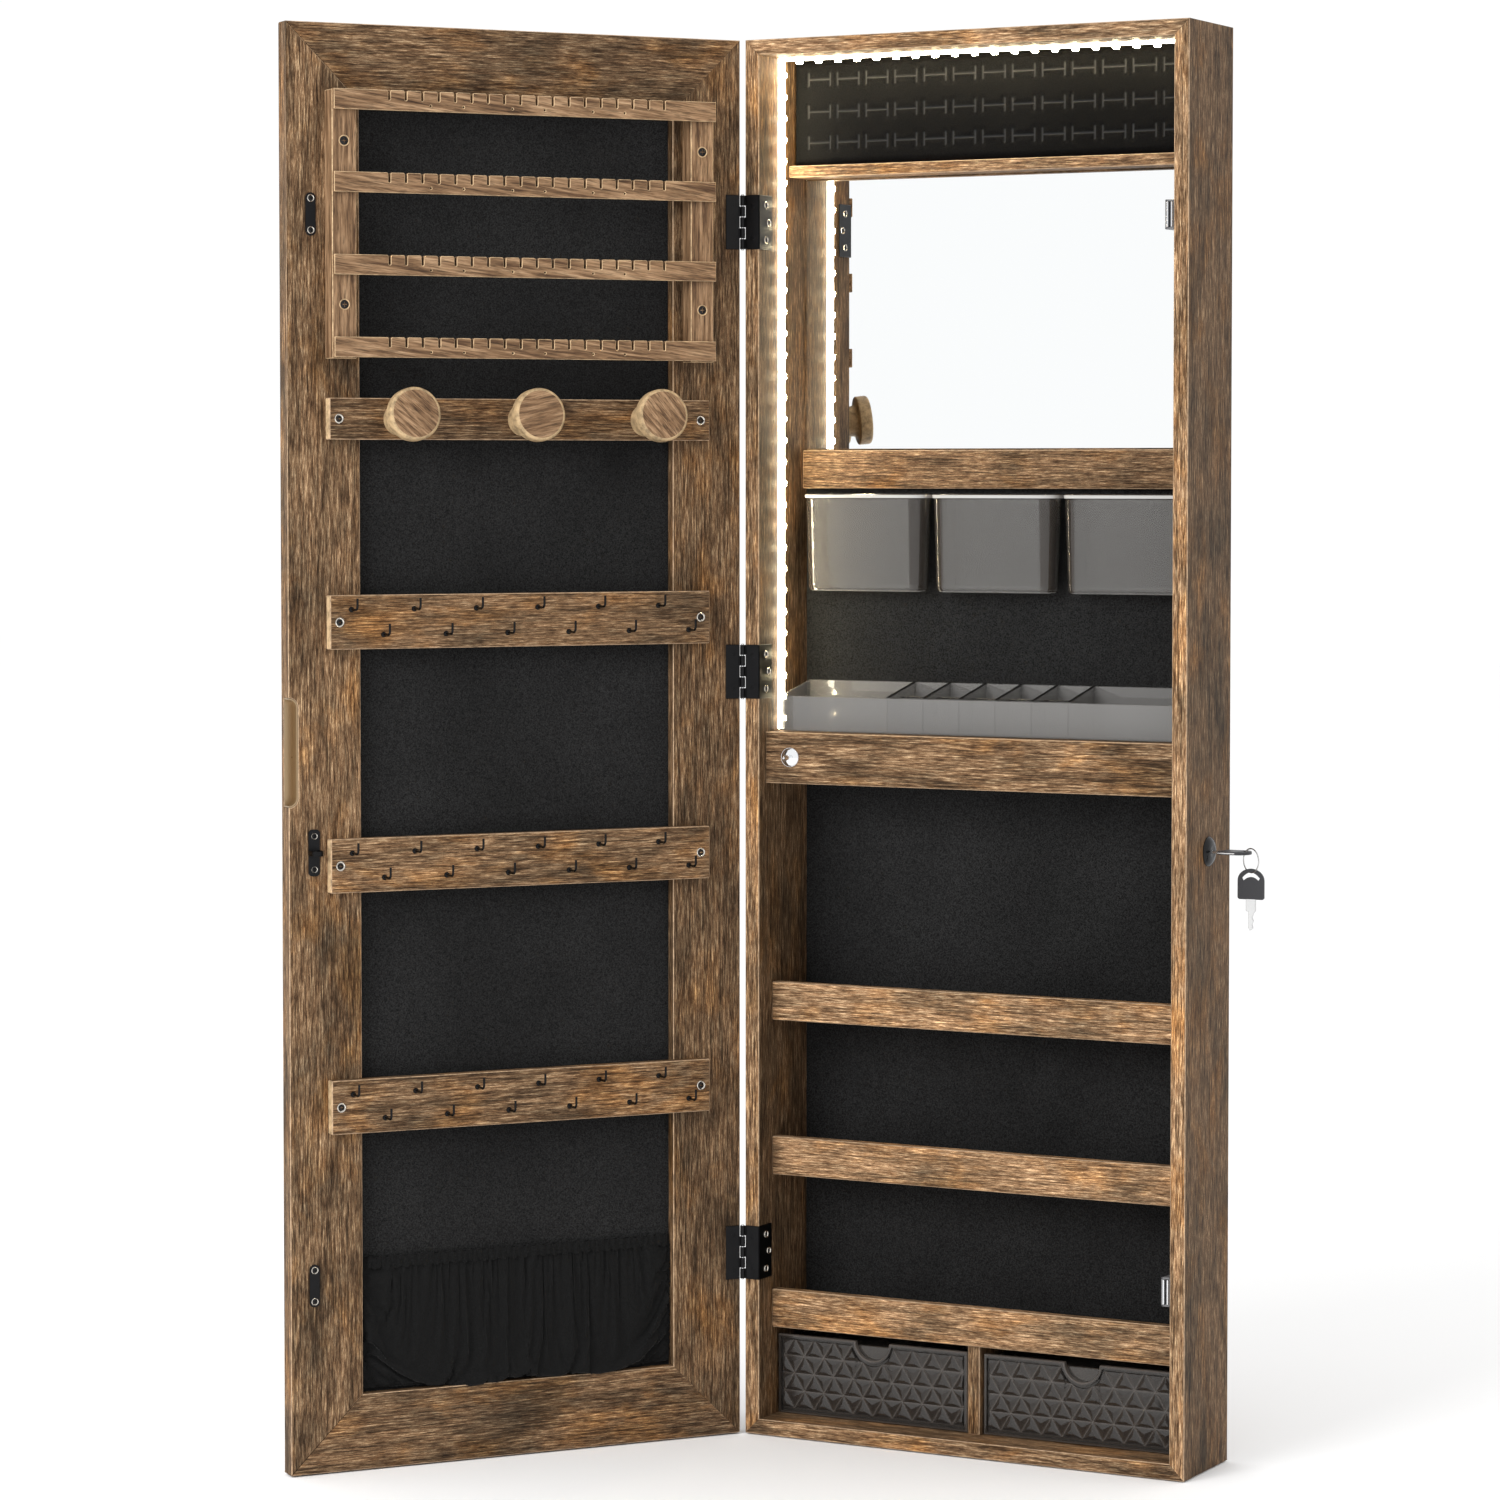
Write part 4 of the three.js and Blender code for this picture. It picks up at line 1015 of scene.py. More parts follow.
# The free stile has a finger scoop cut in its edge, so it is drawn as two layers: one with the scoop's
# outline and a plain one behind it, which it laps a little.
SCOOP_HALF = 0.041
SCOOP_WIDE = 0.0075
SCOOP_DEEP = 0.011
LAYER_LAP = 0.0014
END_PLAY = 0.0002


def scooped_edge(x, half, wide):
    """The free edge from foot to top, dipping inwards round the scoop with a quarter circle at each end."""
    turn = np.linspace(0, np.pi / 2, 7)
    foot = np.stack([x - wide * np.sin(turn), -half + wide - wide * np.cos(turn)], 1)
    return np.concatenate([foot, foot[::-1] * (1, -1)])


outer, inner = door_high[0], door_high[0] - frame_wide
end, heel = door_high[2] - END_PLAY, door_high[2] - frame_wide - MITRE_GAP
foot_side = [(inner, -heel), (outer - MITRE_GAP, -end), (outer, -end)]
top_side = [(outer, end), (outer - MITRE_GAP, end), (inner, heel)]
plain_outline = np.array(foot_side + top_side)
scooped_outline = np.concatenate([foot_side, scooped_edge(outer, SCOOP_HALF, SCOOP_WIDE), top_side])


def on_door(front, thickness):
    """Places a plate's (u, v, across) on the shut door, its front face at a y value, and swings it open."""
    def place(p):
        return swung(np.stack([p[:, 0], front - thickness / 2 + p[:, 2], p[:, 1]], -1))
    return place


front_thick = SCOOP_DEEP + LAYER_LAP
behind_scoop = inner_face - SCOOP_DEEP
back_thick = behind_scoop - door_low[1]
flat_piece("door_stile_free_face", [scooped_outline], front_thick, EDGE, on_door(inner_face, front_thick),
           [free_stile_wrap, foil_edge], "door", ["door_stile_free"])
flat_piece("door_stile_free_back", [plain_outline], back_thick, EDGE, on_door(behind_scoop, back_thick),
           [free_stile_wrap, foil_edge], "door")

finish("door_panel", velvet("door_velvet", open_angle))
finish("door_mirror", mirror_glass)
finish("finger_pull", metal("champagne", (0.40, 0.29, 0.175), 0.3, 0.2))

# ---------------------------------------------------------------- earring rack, peg rail and hook rails
# The rack is solid walnut: two uprights with four slotted bars across them. The rails are foil-wrapped strips
# with bare ends; three turned pegs and thirty-six small black screw hooks stand out of them.


def walnut(name, grain, turn=0.0, seed=0.0, tilt=0.0):
    """Oiled walnut: long streaks between brown and tan, with fine dark pores. tilt leans the grain."""
    material, tree, bsdf = plain(name, (0.3, 0.18, 0.1), 0.5, specular=0.2)
    shift = (seed, seed * 0.7, seed * 1.3)
    streak = mapped(tree, turn, along_grain(grain, 0.06), shift, tilt)
    bands = noise(tree, streak, 360, 5, 0.65, 0.5)
    pores = noise(tree, streak, 1300, 3, 0.6)
    colour = ramp(
        tree, bands,
        (0.34, (0.075, 0.038, 0.019)), (0.47, (0.190, 0.108, 0.055)),
        (0.56, (0.295, 0.178, 0.097)), (0.70, (0.47, 0.31, 0.18)),
    )
    colour = blend_colours(tree, "MULTIPLY", 1.0, colour, scalar_ramp(tree, pores, (0.36, 0.45), (0.50, 1.0)))
    link(tree, colour, bsdf.inputs["Base Color"])
    bump(tree, bsdf, pores, 0.2, 0.0003)
    return material


walnut_upright = walnut("walnut_upright", "z", open_angle)
# Painted highlight: the uprights' chamfers and the bars' bevels are coloured pale where they catch the light.
walnut_edge = pale_edge("walnut_edge", (0.64, 0.45, 0.26))
UPRIGHT_SOFT = 0.0005
for name in ("rack_upright_hinge_side", "rack_upright_free_side"):
    low, high = shut_box(name)
    low[1] = inner_face
    points, faces, material_of = plank(low, high, "z", UPRIGHT_SOFT)
    piece(name + "_stick", swung(points), faces, [walnut_upright, walnut_edge, walnut_upright], "door",
          [name], material_of)

SLOTS = 18
SLOT_PITCH = 0.01312
SLOT_WIDE = 0.0018
SLOT_DEEP = 0.0075
SHOULDER = 0.0012
STUD_HOLES = (-6, -4, -1, 1, 4, 6)  # in slot pitches from the bar's middle
HOLE_UP, HOLE_RADIUS = 0.0042, 0.0008
BAR_SOFT = 0.0004


def slotted_outline(low, high):
    """A bar seen from the front: straight below, with round-bottomed slots and rounded shoulders above."""
    middle = (low[0] + high[0]) / 2
    turn = np.linspace(0, np.pi / 2, 4)
    shoulder = SHOULDER * np.stack([1 - np.sin(turn), 1 - np.cos(turn)], 1)
    half_turn = np.linspace(0, np.pi, 6)
    foot = SLOT_WIDE / 2 * np.stack([np.cos(half_turn), -np.sin(half_turn)], 1)
    slot = np.concatenate([
        (SLOT_WIDE / 2, 0) + shoulder * (1, -1),
        foot + (0, -SLOT_DEEP + SLOT_WIDE / 2),
        ((-SLOT_WIDE / 2, 0) + shoulder * (-1, -1))[::-1],
    ])
    starts = middle + (np.arange(SLOTS) - (SLOTS - 1) / 2)[::-1] * SLOT_PITCH
    cuts = [slot + (x, high[2]) for x in starts]
    ends = [[(low[0], low[2]), (high[0], low[2]), (high[0], high[2])], *cuts, [(low[0], high[2])]]
    return np.concatenate(ends)


for i in range(1, 5):
    low, high = shut_box(f"rack_bar_{i}")
    middle, thick = (low[0] + high[0]) / 2, high[1] - low[1]
    holes = [circle(middle + step * SLOT_PITCH, low[2] + HOLE_UP, HOLE_RADIUS) for step in STUD_HOLES]
    bar_wood = walnut(f"walnut_bar_{i}", "x", open_angle, seed=4.0 * i, tilt=0.12)
    flat_piece(f"rack_bar_{i}_stick", [slotted_outline(low, high), *holes], thick, BAR_SOFT,
               on_door(high[1], thick), [bar_wood, walnut_edge], "door", [f"rack_bar_{i}"])

bare_end = pale_edge("bare_end", (0.66, 0.47, 0.27))
rails = ["peg_rail", "hook_rail_1", "hook_rail_2", "hook_rail_3"]
rail_boxes = {}
# The rails' tone is painted light and shade: the peg rail's foil darker than the hook rails'.
for i, name in enumerate(rails):
    low, high = shut_box(name)
    low[1] = inner_face
    high[1] = inner_face + RAIL_THICK
    rail_boxes[name] = (low, high)
    points, faces, material_of = plank(low, high, "x")
    wrap = foil("foil_" + name, "x", open_angle, seed=11.3 + 2.7 * i, tone_and_painted_light=0.95 if i else 0.70)
    piece(name + "_strip", swung(points), faces, [wrap, foil_edge, bare_end], "door", [name],
          material_of)

PEG_TILT = math.radians(6)
PEG_LONG = 0.036
PEG_SIDES = 64
PEG_GRAINS = (0.9, -0.2, 0.7)  # how each head's grain leans


def peg_profile(length):
    """Radius against distance: a straight stem, a hollow quarter circle out to the head, and a head whose
    rim is rounded behind and in front."""
    stem, head, head_thick, sunk = 0.0125, 0.0200, 0.0105, 0.0015
    hollow, behind, before = 0.0045, 0.0012, 0.0022  # the radii of the quarter circles
    neck = length - head_thick
    flare = np.linspace(0, np.pi / 2, 7)
    curve = np.stack([stem + hollow * (1 - np.cos(flare)), neck - hollow + hollow * np.sin(flare)], 1)
    turn = np.linspace(0, np.pi / 2, 5)
    c, s = np.cos(turn), np.sin(turn)
    lower = np.stack([head - behind + behind * s, neck + behind - behind * c], 1)
    upper = np.stack([head - before + before * c, length - before + before * s], 1)
    return [(0, -sunk), (stem, -sunk), *curve, *lower, *upper, (0, length)]


peg_side = pale_edge("peg_side", (0.52, 0.365, 0.20))
rail_low, rail_high = rail_boxes["peg_rail"]
for i, lean in enumerate(PEG_GRAINS, 1):
    low, high = shut_box(f"peg_{i}")
    centre = np.array([(low[0] + high[0]) / 2, rail_high[1], (rail_low[2] + rail_high[2]) / 2])
    axis = np.array([0, math.cos(PEG_TILT), math.sin(PEG_TILT)])
    points, faces, kinds = lathe(peg_profile(PEG_LONG), centre, axis, PEG_SIDES)
    kinds[:-PEG_SIDES] = 1  # all but the face of the head
    wood = walnut(f"walnut_peg_{i}", "x", open_angle, 7.1 * i, lean)
    piece(f"peg_{i}_turned", swung(points), faces, [wood, peg_side], "door", [f"peg_{i}"],
          kinds, 40)

HOOK_WIRE = 0.0009
HOOK_REACH = 0.0135
HOOK_TIP = 0.0085
HOOK_ROW = 0.0095
HOOK_PITCH = 0.050
HOOKS_IN_ROW = 6
HOOK_STARTS = {1: 0.0735, -1: 0.048}  # from the door's hinge edge, by row


def wire(path, radius, sides=8):
    """A round wire along a path that lies in one plane: at each point a circle of two directions, the
    path's normal in that plane and the plane's own."""
    path = np.asarray(path, float)
    ahead = np.gradient(path, axis=0)
    ahead /= np.linalg.norm(ahead, axis=1, keepdims=True)
    flat = np.linalg.svd(path - path.mean(0))[2][2]
    side = np.cross(ahead, flat)
    turn = np.linspace(0, 2 * np.pi, sides, endpoint=False)
    rings = path[:, None] + radius * (np.cos(turn)[:, None] * side[:, None] + np.sin(turn)[:, None] * flat)
    faces = loft_faces(len(path), sides)
    return rings, faces, np.zeros(len(faces), int)


def hook_at(x, y, z):
    """A screw hook: straight out, round a quarter circle and up, on a small round collar."""
    bend = 0.0032
    turn = np.linspace(0, np.pi / 2, 6)
    corner = np.stack([HOOK_REACH - bend + bend * np.sin(turn), bend - bend * np.cos(turn)], 1)
    line = np.array([(-0.001, 0), (HOOK_REACH - bend - 0.001, 0), *corner, (HOOK_REACH, HOOK_TIP)])
    path = np.column_stack([np.full(len(line), x), y + line[:, 0], z + line[:, 1]])
    collar = lathe([(0, -0.0005), (0.0021, -0.0005), (0.0021, 0.0006), (0.0014, 0.0014), (0, 0.0014)],
                   (x, y, z), TO_BACK, 12)
    return joined(wire(path, HOOK_WIRE), collar)


black_metal = metal("black_metal", (0.020, 0.020, 0.021), 0.40)
for name in rails[1:]:
    low, high = rail_boxes[name]
    middle = (low[2] + high[2]) / 2
    hooks = [
        hook_at(door_low[0] + start + k * HOOK_PITCH, high[1], middle + row * HOOK_ROW)
        for row, start in HOOK_STARTS.items() for k in range(HOOKS_IN_ROW)
    ]
    points, faces, kinds = joined(*hooks)
    piece(name.replace("rail", "set"), swung(points), faces, [black_metal], "door",
          smooth=50)

# ---------------------------------------------------------------- screws
# Black cross-head screws hold the rack, the rails, the plates and the hinges. On the rails and the plates
# each sits in a small bright cup washer; on the rack its rim is of bare wood.


def screw_head(centre, out, radius, dome):
    """A low dome with a cross sunk in it: rings of points out from the middle, raised by 1 - (r / R) squared
    and let down wherever they lie in an arm of the cross; a skirt and a cap close it behind."""
    sides, steps = 40, 11
    arm_half, arm_long, sunk, skirt_deep = 0.13, 0.6, 0.45, 0.25  # in shares of the radius
    out = np.asarray(out, float) / np.linalg.norm(out)
    side = np.cross(out, (0, 0, 1))
    side /= np.linalg.norm(side)
    up = np.cross(side, out)
    angle = np.linspace(0, 2 * np.pi, sides, endpoint=False)
    share = np.linspace(0.04, 1, steps)[:, None]
    u, v = share * np.cos(angle), share * np.sin(angle)
    upright = (abs(u) < arm_half) & (abs(v) < arm_long)
    level = (abs(v) < arm_half) & (abs(u) < arm_long)
    height = dome * (1 - share**2) - sunk * (upright | level)
    rings = np.stack([u, v, height], -1)
    skirt = np.stack([np.cos(angle), np.sin(angle), np.full(sides, -skirt_deep)], -1)[None]
    local = np.concatenate([rings, skirt]) * radius
    points = np.asarray(centre) + local @ np.stack([side, up, out])
    faces = loft_faces(steps + 1, sides)
    return points, faces, np.zeros(len(faces), int)


def screw(centre, out, radius, cup=0.0, dome=0.34):
    """A screw head, with a turned cup washer of the given width round it, kind 1. dome is the head's rise
    as a share of its radius."""
    head = screw_head(centre, out, radius, dome)
    if not cup:
        return head
    profile = [(0, -0.0003), (radius + cup, -0.0003), (radius + cup, 0.0003), (radius + cup * 0.6, 0.0007),
               (radius + cup * 0.1, 0.0003), (radius - 0.0002, -0.0001), (0, -0.0001)]
    ring = lathe(profile, centre, out, 32)
    return joined(head, (ring[0], ring[1], ring[2] + 1))


screw_black = grained("screw_black", (0.012, 0.012, 0.013), 0.35, 1900, 0.2, 0.0001, 2, metallic=0.6)
bright_cup = metal("bright_cup", (0.62, 0.58, 0.52), 0.22)

RACK_SCREWS = (0.454, 0.333)
RAIL_SCREW_IN = 0.0075


def door_screws(name, spots, radius, cup, cup_material):
    """Screws in the inner face of the shut door, at (x, y, z) spots, as one piece."""
    points, faces, kinds = joined(*[screw(spot, TO_BACK, radius, cup) for spot in spots])
    piece(name, swung(points), faces, [screw_black, cup_material], "door",
          material_of=kinds, smooth=35)


for name in ("rack_upright_hinge_side", "rack_upright_free_side"):
    low, high = shut_box(name)
    spots = [((low[0] + high[0]) / 2, high[1] - 0.0001, z) for z in RACK_SCREWS]
    door_screws(name.replace("upright", "screws"), spots, 0.0034, 0.0008, walnut_edge)

for name in rails:
    low, high = rail_boxes[name]
    spots = [(x, high[1], (low[2] + high[2]) / 2) for x in (low[0] + RAIL_SCREW_IN, high[0] - RAIL_SCREW_IN)]
    door_screws(name + "_screws", spots, 0.0023, 0.0013, bright_cup)

# ---------------------------------------------------------------- strike plates and lock keeper
# Two thin black steel plates on the free stile meet the magnets. Between them a black keeper stands out,
# a foot with two screws and a loop of three wires, for the lock's cam to turn behind.

PLATE_SOFT = 0.0003
PLATE_POINTS = 6  # in a rounded corner
PLATE_SCREW_IN = 0.0042
for name in ("strike_plate_upper", "strike_plate_lower"):
    low, high = shut_box(name)
    thick = high[1] - inner_face
    outline = round_rectangle(low[0], high[0], low[2], high[2], 0.0038, PLATE_POINTS)
    flat_piece(name + "_sheet", [outline], thick, PLATE_SOFT, on_door(high[1], thick), [black_metal], "door",
               [name])
    middle = (low[0] + high[0]) / 2
    spots = [(middle, high[1], z) for z in (low[2] + PLATE_SCREW_IN, high[2] - PLATE_SCREW_IN)]
    door_screws(name + "_screws", spots, 0.0019, 0.0009, bright_cup)

low, high = shut_box("lock_keeper")
KEEPER_FOOT = 0.0012
KEEPER_WIRE = 0.0008
KEEPER_SCREW_IN = 0.005
keeper_x, keeper_z = (low[0] + high[0]) / 2, (low[2] + high[2]) / 2
foot_face = inner_face + KEEPER_FOOT
outline = round_rectangle(low[0], high[0], low[2], high[2], 0.003, PLATE_POINTS)
flat_piece("keeper_foot", [outline], KEEPER_FOOT, PLATE_SOFT, on_door(foot_face, KEEPER_FOOT), [black_metal],
           "door", ["lock_keeper"])
turn = np.linspace(0, np.pi, 13)
reach = high[1] - inner_face
loop_half = (high[0] - low[0]) / 2 - 0.0006
arch = np.stack([-loop_half * np.cos(turn), reach - loop_half + loop_half * np.sin(turn)], 1)
path = np.concatenate([[(-loop_half, 0.0)], arch, [(loop_half, 0.0)]])
parts = []
for dz in (-0.0012, 0, 0.0012):
    level = np.full(len(path), keeper_z + dz)
    parts.append(wire(np.column_stack([keeper_x + path[:, 0], inner_face + path[:, 1], level]), KEEPER_WIRE))
for z in (low[2] + KEEPER_SCREW_IN, high[2] - KEEPER_SCREW_IN):
    parts.append(screw((keeper_x, foot_face, z), TO_BACK, 0.0018, 0.0008))
points, faces, kinds = joined(*parts)
piece("keeper_loop", swung(points), faces, [black_metal, bright_cup], "door",
      material_of=kinds, smooth=40)

# ---------------------------------------------------------------- fabric pocket
# Black cloth, a third wider than the panel it covers, is gathered on an elastic at its mouth and tacked to
# the panel along its other three sides, so it hangs in soft folds below a ruched band.

BAND = 0.0085
BAND_THICK = 0.0006
CLOTH_THICK = 0.0004
CLOTH_GAP = 0.001
CLOTH_SHRINK = -0.16  # below 0 the cloth grows
pocket_low, pocket_high = shut_box("fabric_pocket")
panel_face = shut_box("door_panel")[1][1]


def ripple(u, waves, seed):
    """Uneven pleats between 0 and 1: a sine whose phase wanders along the row."""
    wander = 0.35 * np.sin(2 * np.pi * (3.1 * u + seed)) + 0.22 * np.sin(2 * np.pi * (7.3 * u + 2 * seed))
    return 0.5 + 0.5 * np.sin(2 * np.pi * (waves * u + wander))


def pocket_sheet(columns, rows):
    """The gathered cloth before it hangs: flat below, and pleated in and out towards its mouth."""
    u, v = np.meshgrid(np.linspace(0, 1, columns), np.linspace(0, 1, rows))
    side = np.clip(np.minimum(u, 1 - u) / 0.03, 0, 1)
    pleats = 0.0030 * v**3 * ripple(u, 17, 0.3)
    folds = 0.0026 * np.sin(np.pi * v) * ripple(u + 0.2 * v, 5, 0.7)
    deep = 0.0006 + pleats + folds
    x = pocket_low[0] + u * (pocket_high[0] - pocket_low[0])
    z = pocket_low[2] + v * (pocket_high[2] - pocket_low[2])
    return np.stack([x, panel_face + 0.0004 + deep * side, z], -1)


def hang(sheet, frames):
    """Lets the cloth grow and settle, held at its mouth, sides and foot, in front of the panel."""
    rows, columns = sheet.shape[:2]
    mesh = bpy.data.meshes.new("pocket_cloth")
    mesh.from_pydata(sheet.reshape(-1, 3).tolist(), [], grid_faces(rows, columns))
    cloth = bpy.data.objects.new("pocket_cloth", mesh)
    scene.collection.objects.link(cloth)
    index = np.arange(rows * columns).reshape(rows, columns)
    held = cloth.vertex_groups.new(name="held")
    edges = np.concatenate([index[:2].ravel(), index[-3:].ravel(), index[:, 0], index[:, -1]])
    held.add(np.unique(edges).tolist(), 1.0, "REPLACE")
    corners = [(x, panel_face, z) for x, z in ((-0.5, -0.8), (0.5, -0.8), (0.5, 0), (-0.5, 0))]
    wall_mesh = bpy.data.meshes.new("pocket_wall")
    wall_mesh.from_pydata(corners, [], [(3, 2, 1, 0)])
    wall = bpy.data.objects.new("pocket_wall", wall_mesh)
    scene.collection.objects.link(wall)
    wall.modifiers.new("collide", "COLLISION")
    wall.collision.thickness_outer = CLOTH_GAP
    modifier = cloth.modifiers.new("cloth", "CLOTH")
    settings = modifier.settings
    settings.quality = 6
    settings.mass = 0.15
    settings.tension_stiffness = 12
    settings.bending_stiffness = 0.02
    settings.vertex_group_mass = "held"
    settings.shrink_min = CLOTH_SHRINK
    settings.shrink_max = CLOTH_SHRINK
    modifier.collision_settings.distance_min = CLOTH_GAP
    modifier.collision_settings.collision_quality = 3
    modifier.point_cache.frame_end = frames
    scene.frame_end = frames
    for k in range(1, frames + 1):
        scene.frame_set(k)
    solved = cloth.evaluated_get(bpy.context.evaluated_depsgraph_get()).data
    flat = np.empty(rows * columns * 3, np.float32)
    solved.vertices.foreach_get("co", flat)
    scene.frame_set(1)
    for used in (cloth, wall):
        data = used.data
        bpy.data.objects.remove(used)
        bpy.data.meshes.remove(data)
    return flat.reshape(rows, columns, 3).astype(float)


def pocket_weave(name):
    """Fine black plain weave, hardly shiny."""
    material, tree, bsdf = plain(name, (0.010, 0.010, 0.010), 0.9, specular=0.1)
    bsdf.inputs["Sheen Weight"].default_value = 0.05
    threads = noise(tree, mapped(tree, open_angle, (1, 1, 0.5)), 2600, 2, 0.6)
    link(tree, ramp(tree, threads, (0.35, (0.0025, 0.0025, 0.0025)), (0.65, (0.012, 0.012, 0.012))),
         bsdf.inputs["Base Color"])
    bump(tree, bsdf, threads, 0.3, 0.0002)
    return material


weave = pocket_weave("pocket_weave")
drawn = pocket_sheet(171, 61)
hung = hang(drawn, 26)
hung[..., 1] = np.clip(hung[..., 1], panel_face + 0.0003, pocket_high[1] + 0.004)
points, faces = shell_of(hung, hung - (0, CLOTH_THICK, 0))
pocket = piece("pocket_cloth", swung(points), faces, [weave], "door", ["fabric_pocket"],
               smooth=60)

# The band is a grid puffed out between its gathers, and held in along two lines of stitches.
u, v = np.meshgrid(np.linspace(0, 1, 700), np.linspace(0, 1, 13))
stitch = np.exp(-(((v - 0.30) / 0.06) ** 2)) + np.exp(-(((v - 0.62) / 0.06) ** 2))
edge = np.clip(np.minimum(u, 1 - u) / 0.02, 0, 1)
puff = 0.0013 * ripple(u, 52, 0.1) * (1 - 0.65 * stitch) + 0.0008 * np.sin(np.pi * v)
band_top = pocket_high[2] + 0.0008 * np.sin(2 * np.pi * (31 * u + 0.2 * np.sin(9 * u)))
band = np.stack([
    pocket_low[0] + u * (pocket_high[0] - pocket_low[0]),
    panel_face + 0.0012 + (0.0024 + puff) * edge,
    band_top - BAND * (1 - v),
], -1)
points, faces = shell_of(band, band - (0, BAND_THICK, 0))
ruched = piece("pocket_band", swung(points), faces, [weave], "door", smooth=60)

# ---------------------------------------------------------------- hinges
# Three black steel butt hinges. Each has five knuckles on a steel pin, three on the case leaf and two on the
# door leaf; the case leaf is bent round the board's front edge and screwed to its inner face.

KNUCKLES = 5
KNUCKLE_PLAY = 0.0003  # at each end of a knuckle
SHEET = 0.001
LEAF_SOFT = 0.0003
WEB_SOFT = 0.0002
LEAF_IN = 0.0008  # from the board's outer face to the leaf's edge
DOOR_PLAY = 0.0002
PIN_RADIUS = 0.0011
PIN_PROUD = 0.0006
SIDE_SCREWS = ((0.0135, 0.010), (0, 0.0145), (-0.0135, 0.010))  # (up from the middle, in from the front)
FRONT_SCREWS = (0.0125, -0.0125)
DOOR_SCREWS = (0.0135, -0.0135)
FLUSH = 0.05  # the dome of a head that the other leaf closes on
case_front = case_low[1]
board_inside = case_low[0] + board


def post(z0, z1, radius):
    """A round bar on the hinge pin's axis, softened at both ends."""
    soft = 0.0003
    profile = [(0, z0), (radius - soft, z0), (radius, z0 + soft), (radius, z1 - soft),
               (radius - soft, z1), (0, z1)]
    return lathe(profile, (hinge_x, hinge_y, 0), (0, 0, 1), 24)


def knuckles(first, foot, tall, web_end, web_low, web_high):
    """Every second knuckle from a number up, each with the web that joins it to its leaf."""
    parts = []
    for k in range(first, KNUCKLES, 2):
        z0, z1 = foot + k * tall + KNUCKLE_PLAY, foot + (k + 1) * tall - KNUCKLE_PLAY
        parts.append(post(z0, z1, barrel))
        parts.append(plank((hinge_x, web_low, z0), (web_end, web_high, z1), "z", WEB_SOFT))
    return parts


barrel = hinge_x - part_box("case_hinge_leaf_upper")[0][0]
leaf_edge = case_low[0] + LEAF_IN
bend_face = board_inside + SHEET
door_leaf_low, door_leaf_high = inner_face + DOOR_PLAY, inner_face + 0.0012
for place_name in ("upper", "middle", "lower"):
    name = "case_hinge_leaf_" + place_name
    low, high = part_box(name)
    tall = (high[2] - low[2]) / KNUCKLES
    middle = (low[2] + high[2]) / 2
    sheet_front = case_front - SHEET
    leaf = [
        plank((leaf_edge, sheet_front, low[2]), (bend_face, case_front, high[2]), "z", LEAF_SOFT),
        plank((board_inside, sheet_front, low[2]), (bend_face, high[1], high[2]), "z", LEAF_SOFT),
        *knuckles(0, low[2], tall, leaf_edge + 0.001, sheet_front, case_front),
    ]
    leaf = [(points, faces, kinds * 0) for points, faces, kinds in leaf]
    for dz, inwards in SIDE_SCREWS:
        leaf.append(screw((bend_face, case_front + inwards, middle + dz), (1, 0, 0), 0.0023, 0.0006))
    for dz in FRONT_SCREWS:
        spot = ((leaf_edge + board_inside) / 2 + 0.001, sheet_front, middle + dz)
        leaf.append(screw(spot, (0, -1, 0), 0.0022, dome=FLUSH))
    points, faces, kinds = joined(*leaf)
    piece(name + "_steel", points, faces, [black_metal, bright_cup], "case", [name], kinds, 35)
    points, faces, _ = post(low[2] - PIN_PROUD, high[2] + PIN_PROUD, PIN_RADIUS)
    piece(name + "_pin", points, faces, [steel], "case", smooth=35)

    name = "door_hinge_leaf_" + place_name
    low, high = shut_box(name)
    leaf = [
        plank((door_low[0] + LEAF_IN, door_leaf_low, low[2]), (high[0], door_leaf_high, high[2]), "z",
              LEAF_SOFT),
        *knuckles(1, low[2], tall, door_low[0] + 0.002, door_leaf_low, door_leaf_high),
    ]
    for dz in DOOR_SCREWS:
        leaf.append(screw((high[0] - 0.006, door_leaf_high, middle + dz), TO_BACK, 0.0021, dome=FLUSH))
    points, faces, _ = joined(*leaf)
    piece(name + "_steel", swung(points), faces, [black_metal], "door", [name], smooth=35)

# ---------------------------------------------------------------- lock and keys
# A black cam lock is screwed into the right side, and a chrome cam turns behind it. One key is in it; a
# spare hangs from a wire ring through the first key's bow.

lock = next(joint for joint in frame["joints"] if joint["name"] == "lock_turn")["pos_m"]
lock_y, lock_z = lock[1], lock[2]
LOCK_STEM = 0.0079
SLOT_RADIUS = 0.0046
body_low, body_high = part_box("lock_body")
side_x = case_high[0]
dome = (body_high[2] - body_low[2]) / 2
rise = body_high[0] - side_x
profile = [(0, body_low[0]), (LOCK_STEM, body_low[0]), (LOCK_STEM, side_x + 0.0001), (dome, side_x + 0.0001),
           (dome, side_x + 0.0006), (dome - 0.0012, side_x + rise * 0.55),
           (dome - 0.0034, side_x + rise * 0.85), (dome - 0.0062, side_x + rise),
           (SLOT_RADIUS, side_x + rise), (0, side_x + rise - 0.0004)]
points, faces, _ = lathe(profile, (0, lock_y, lock_z), (1, 0, 0), 56)
gloss_black = grained("gloss_black", (0.006, 0.006, 0.0065), 0.18, 900, 0.05, 0.0001, 2, specular=0.25)
piece("lock_housing", points, faces, [gloss_black], "case", ["lock_body"], smooth=30)
finish("lock_cam", chrome)

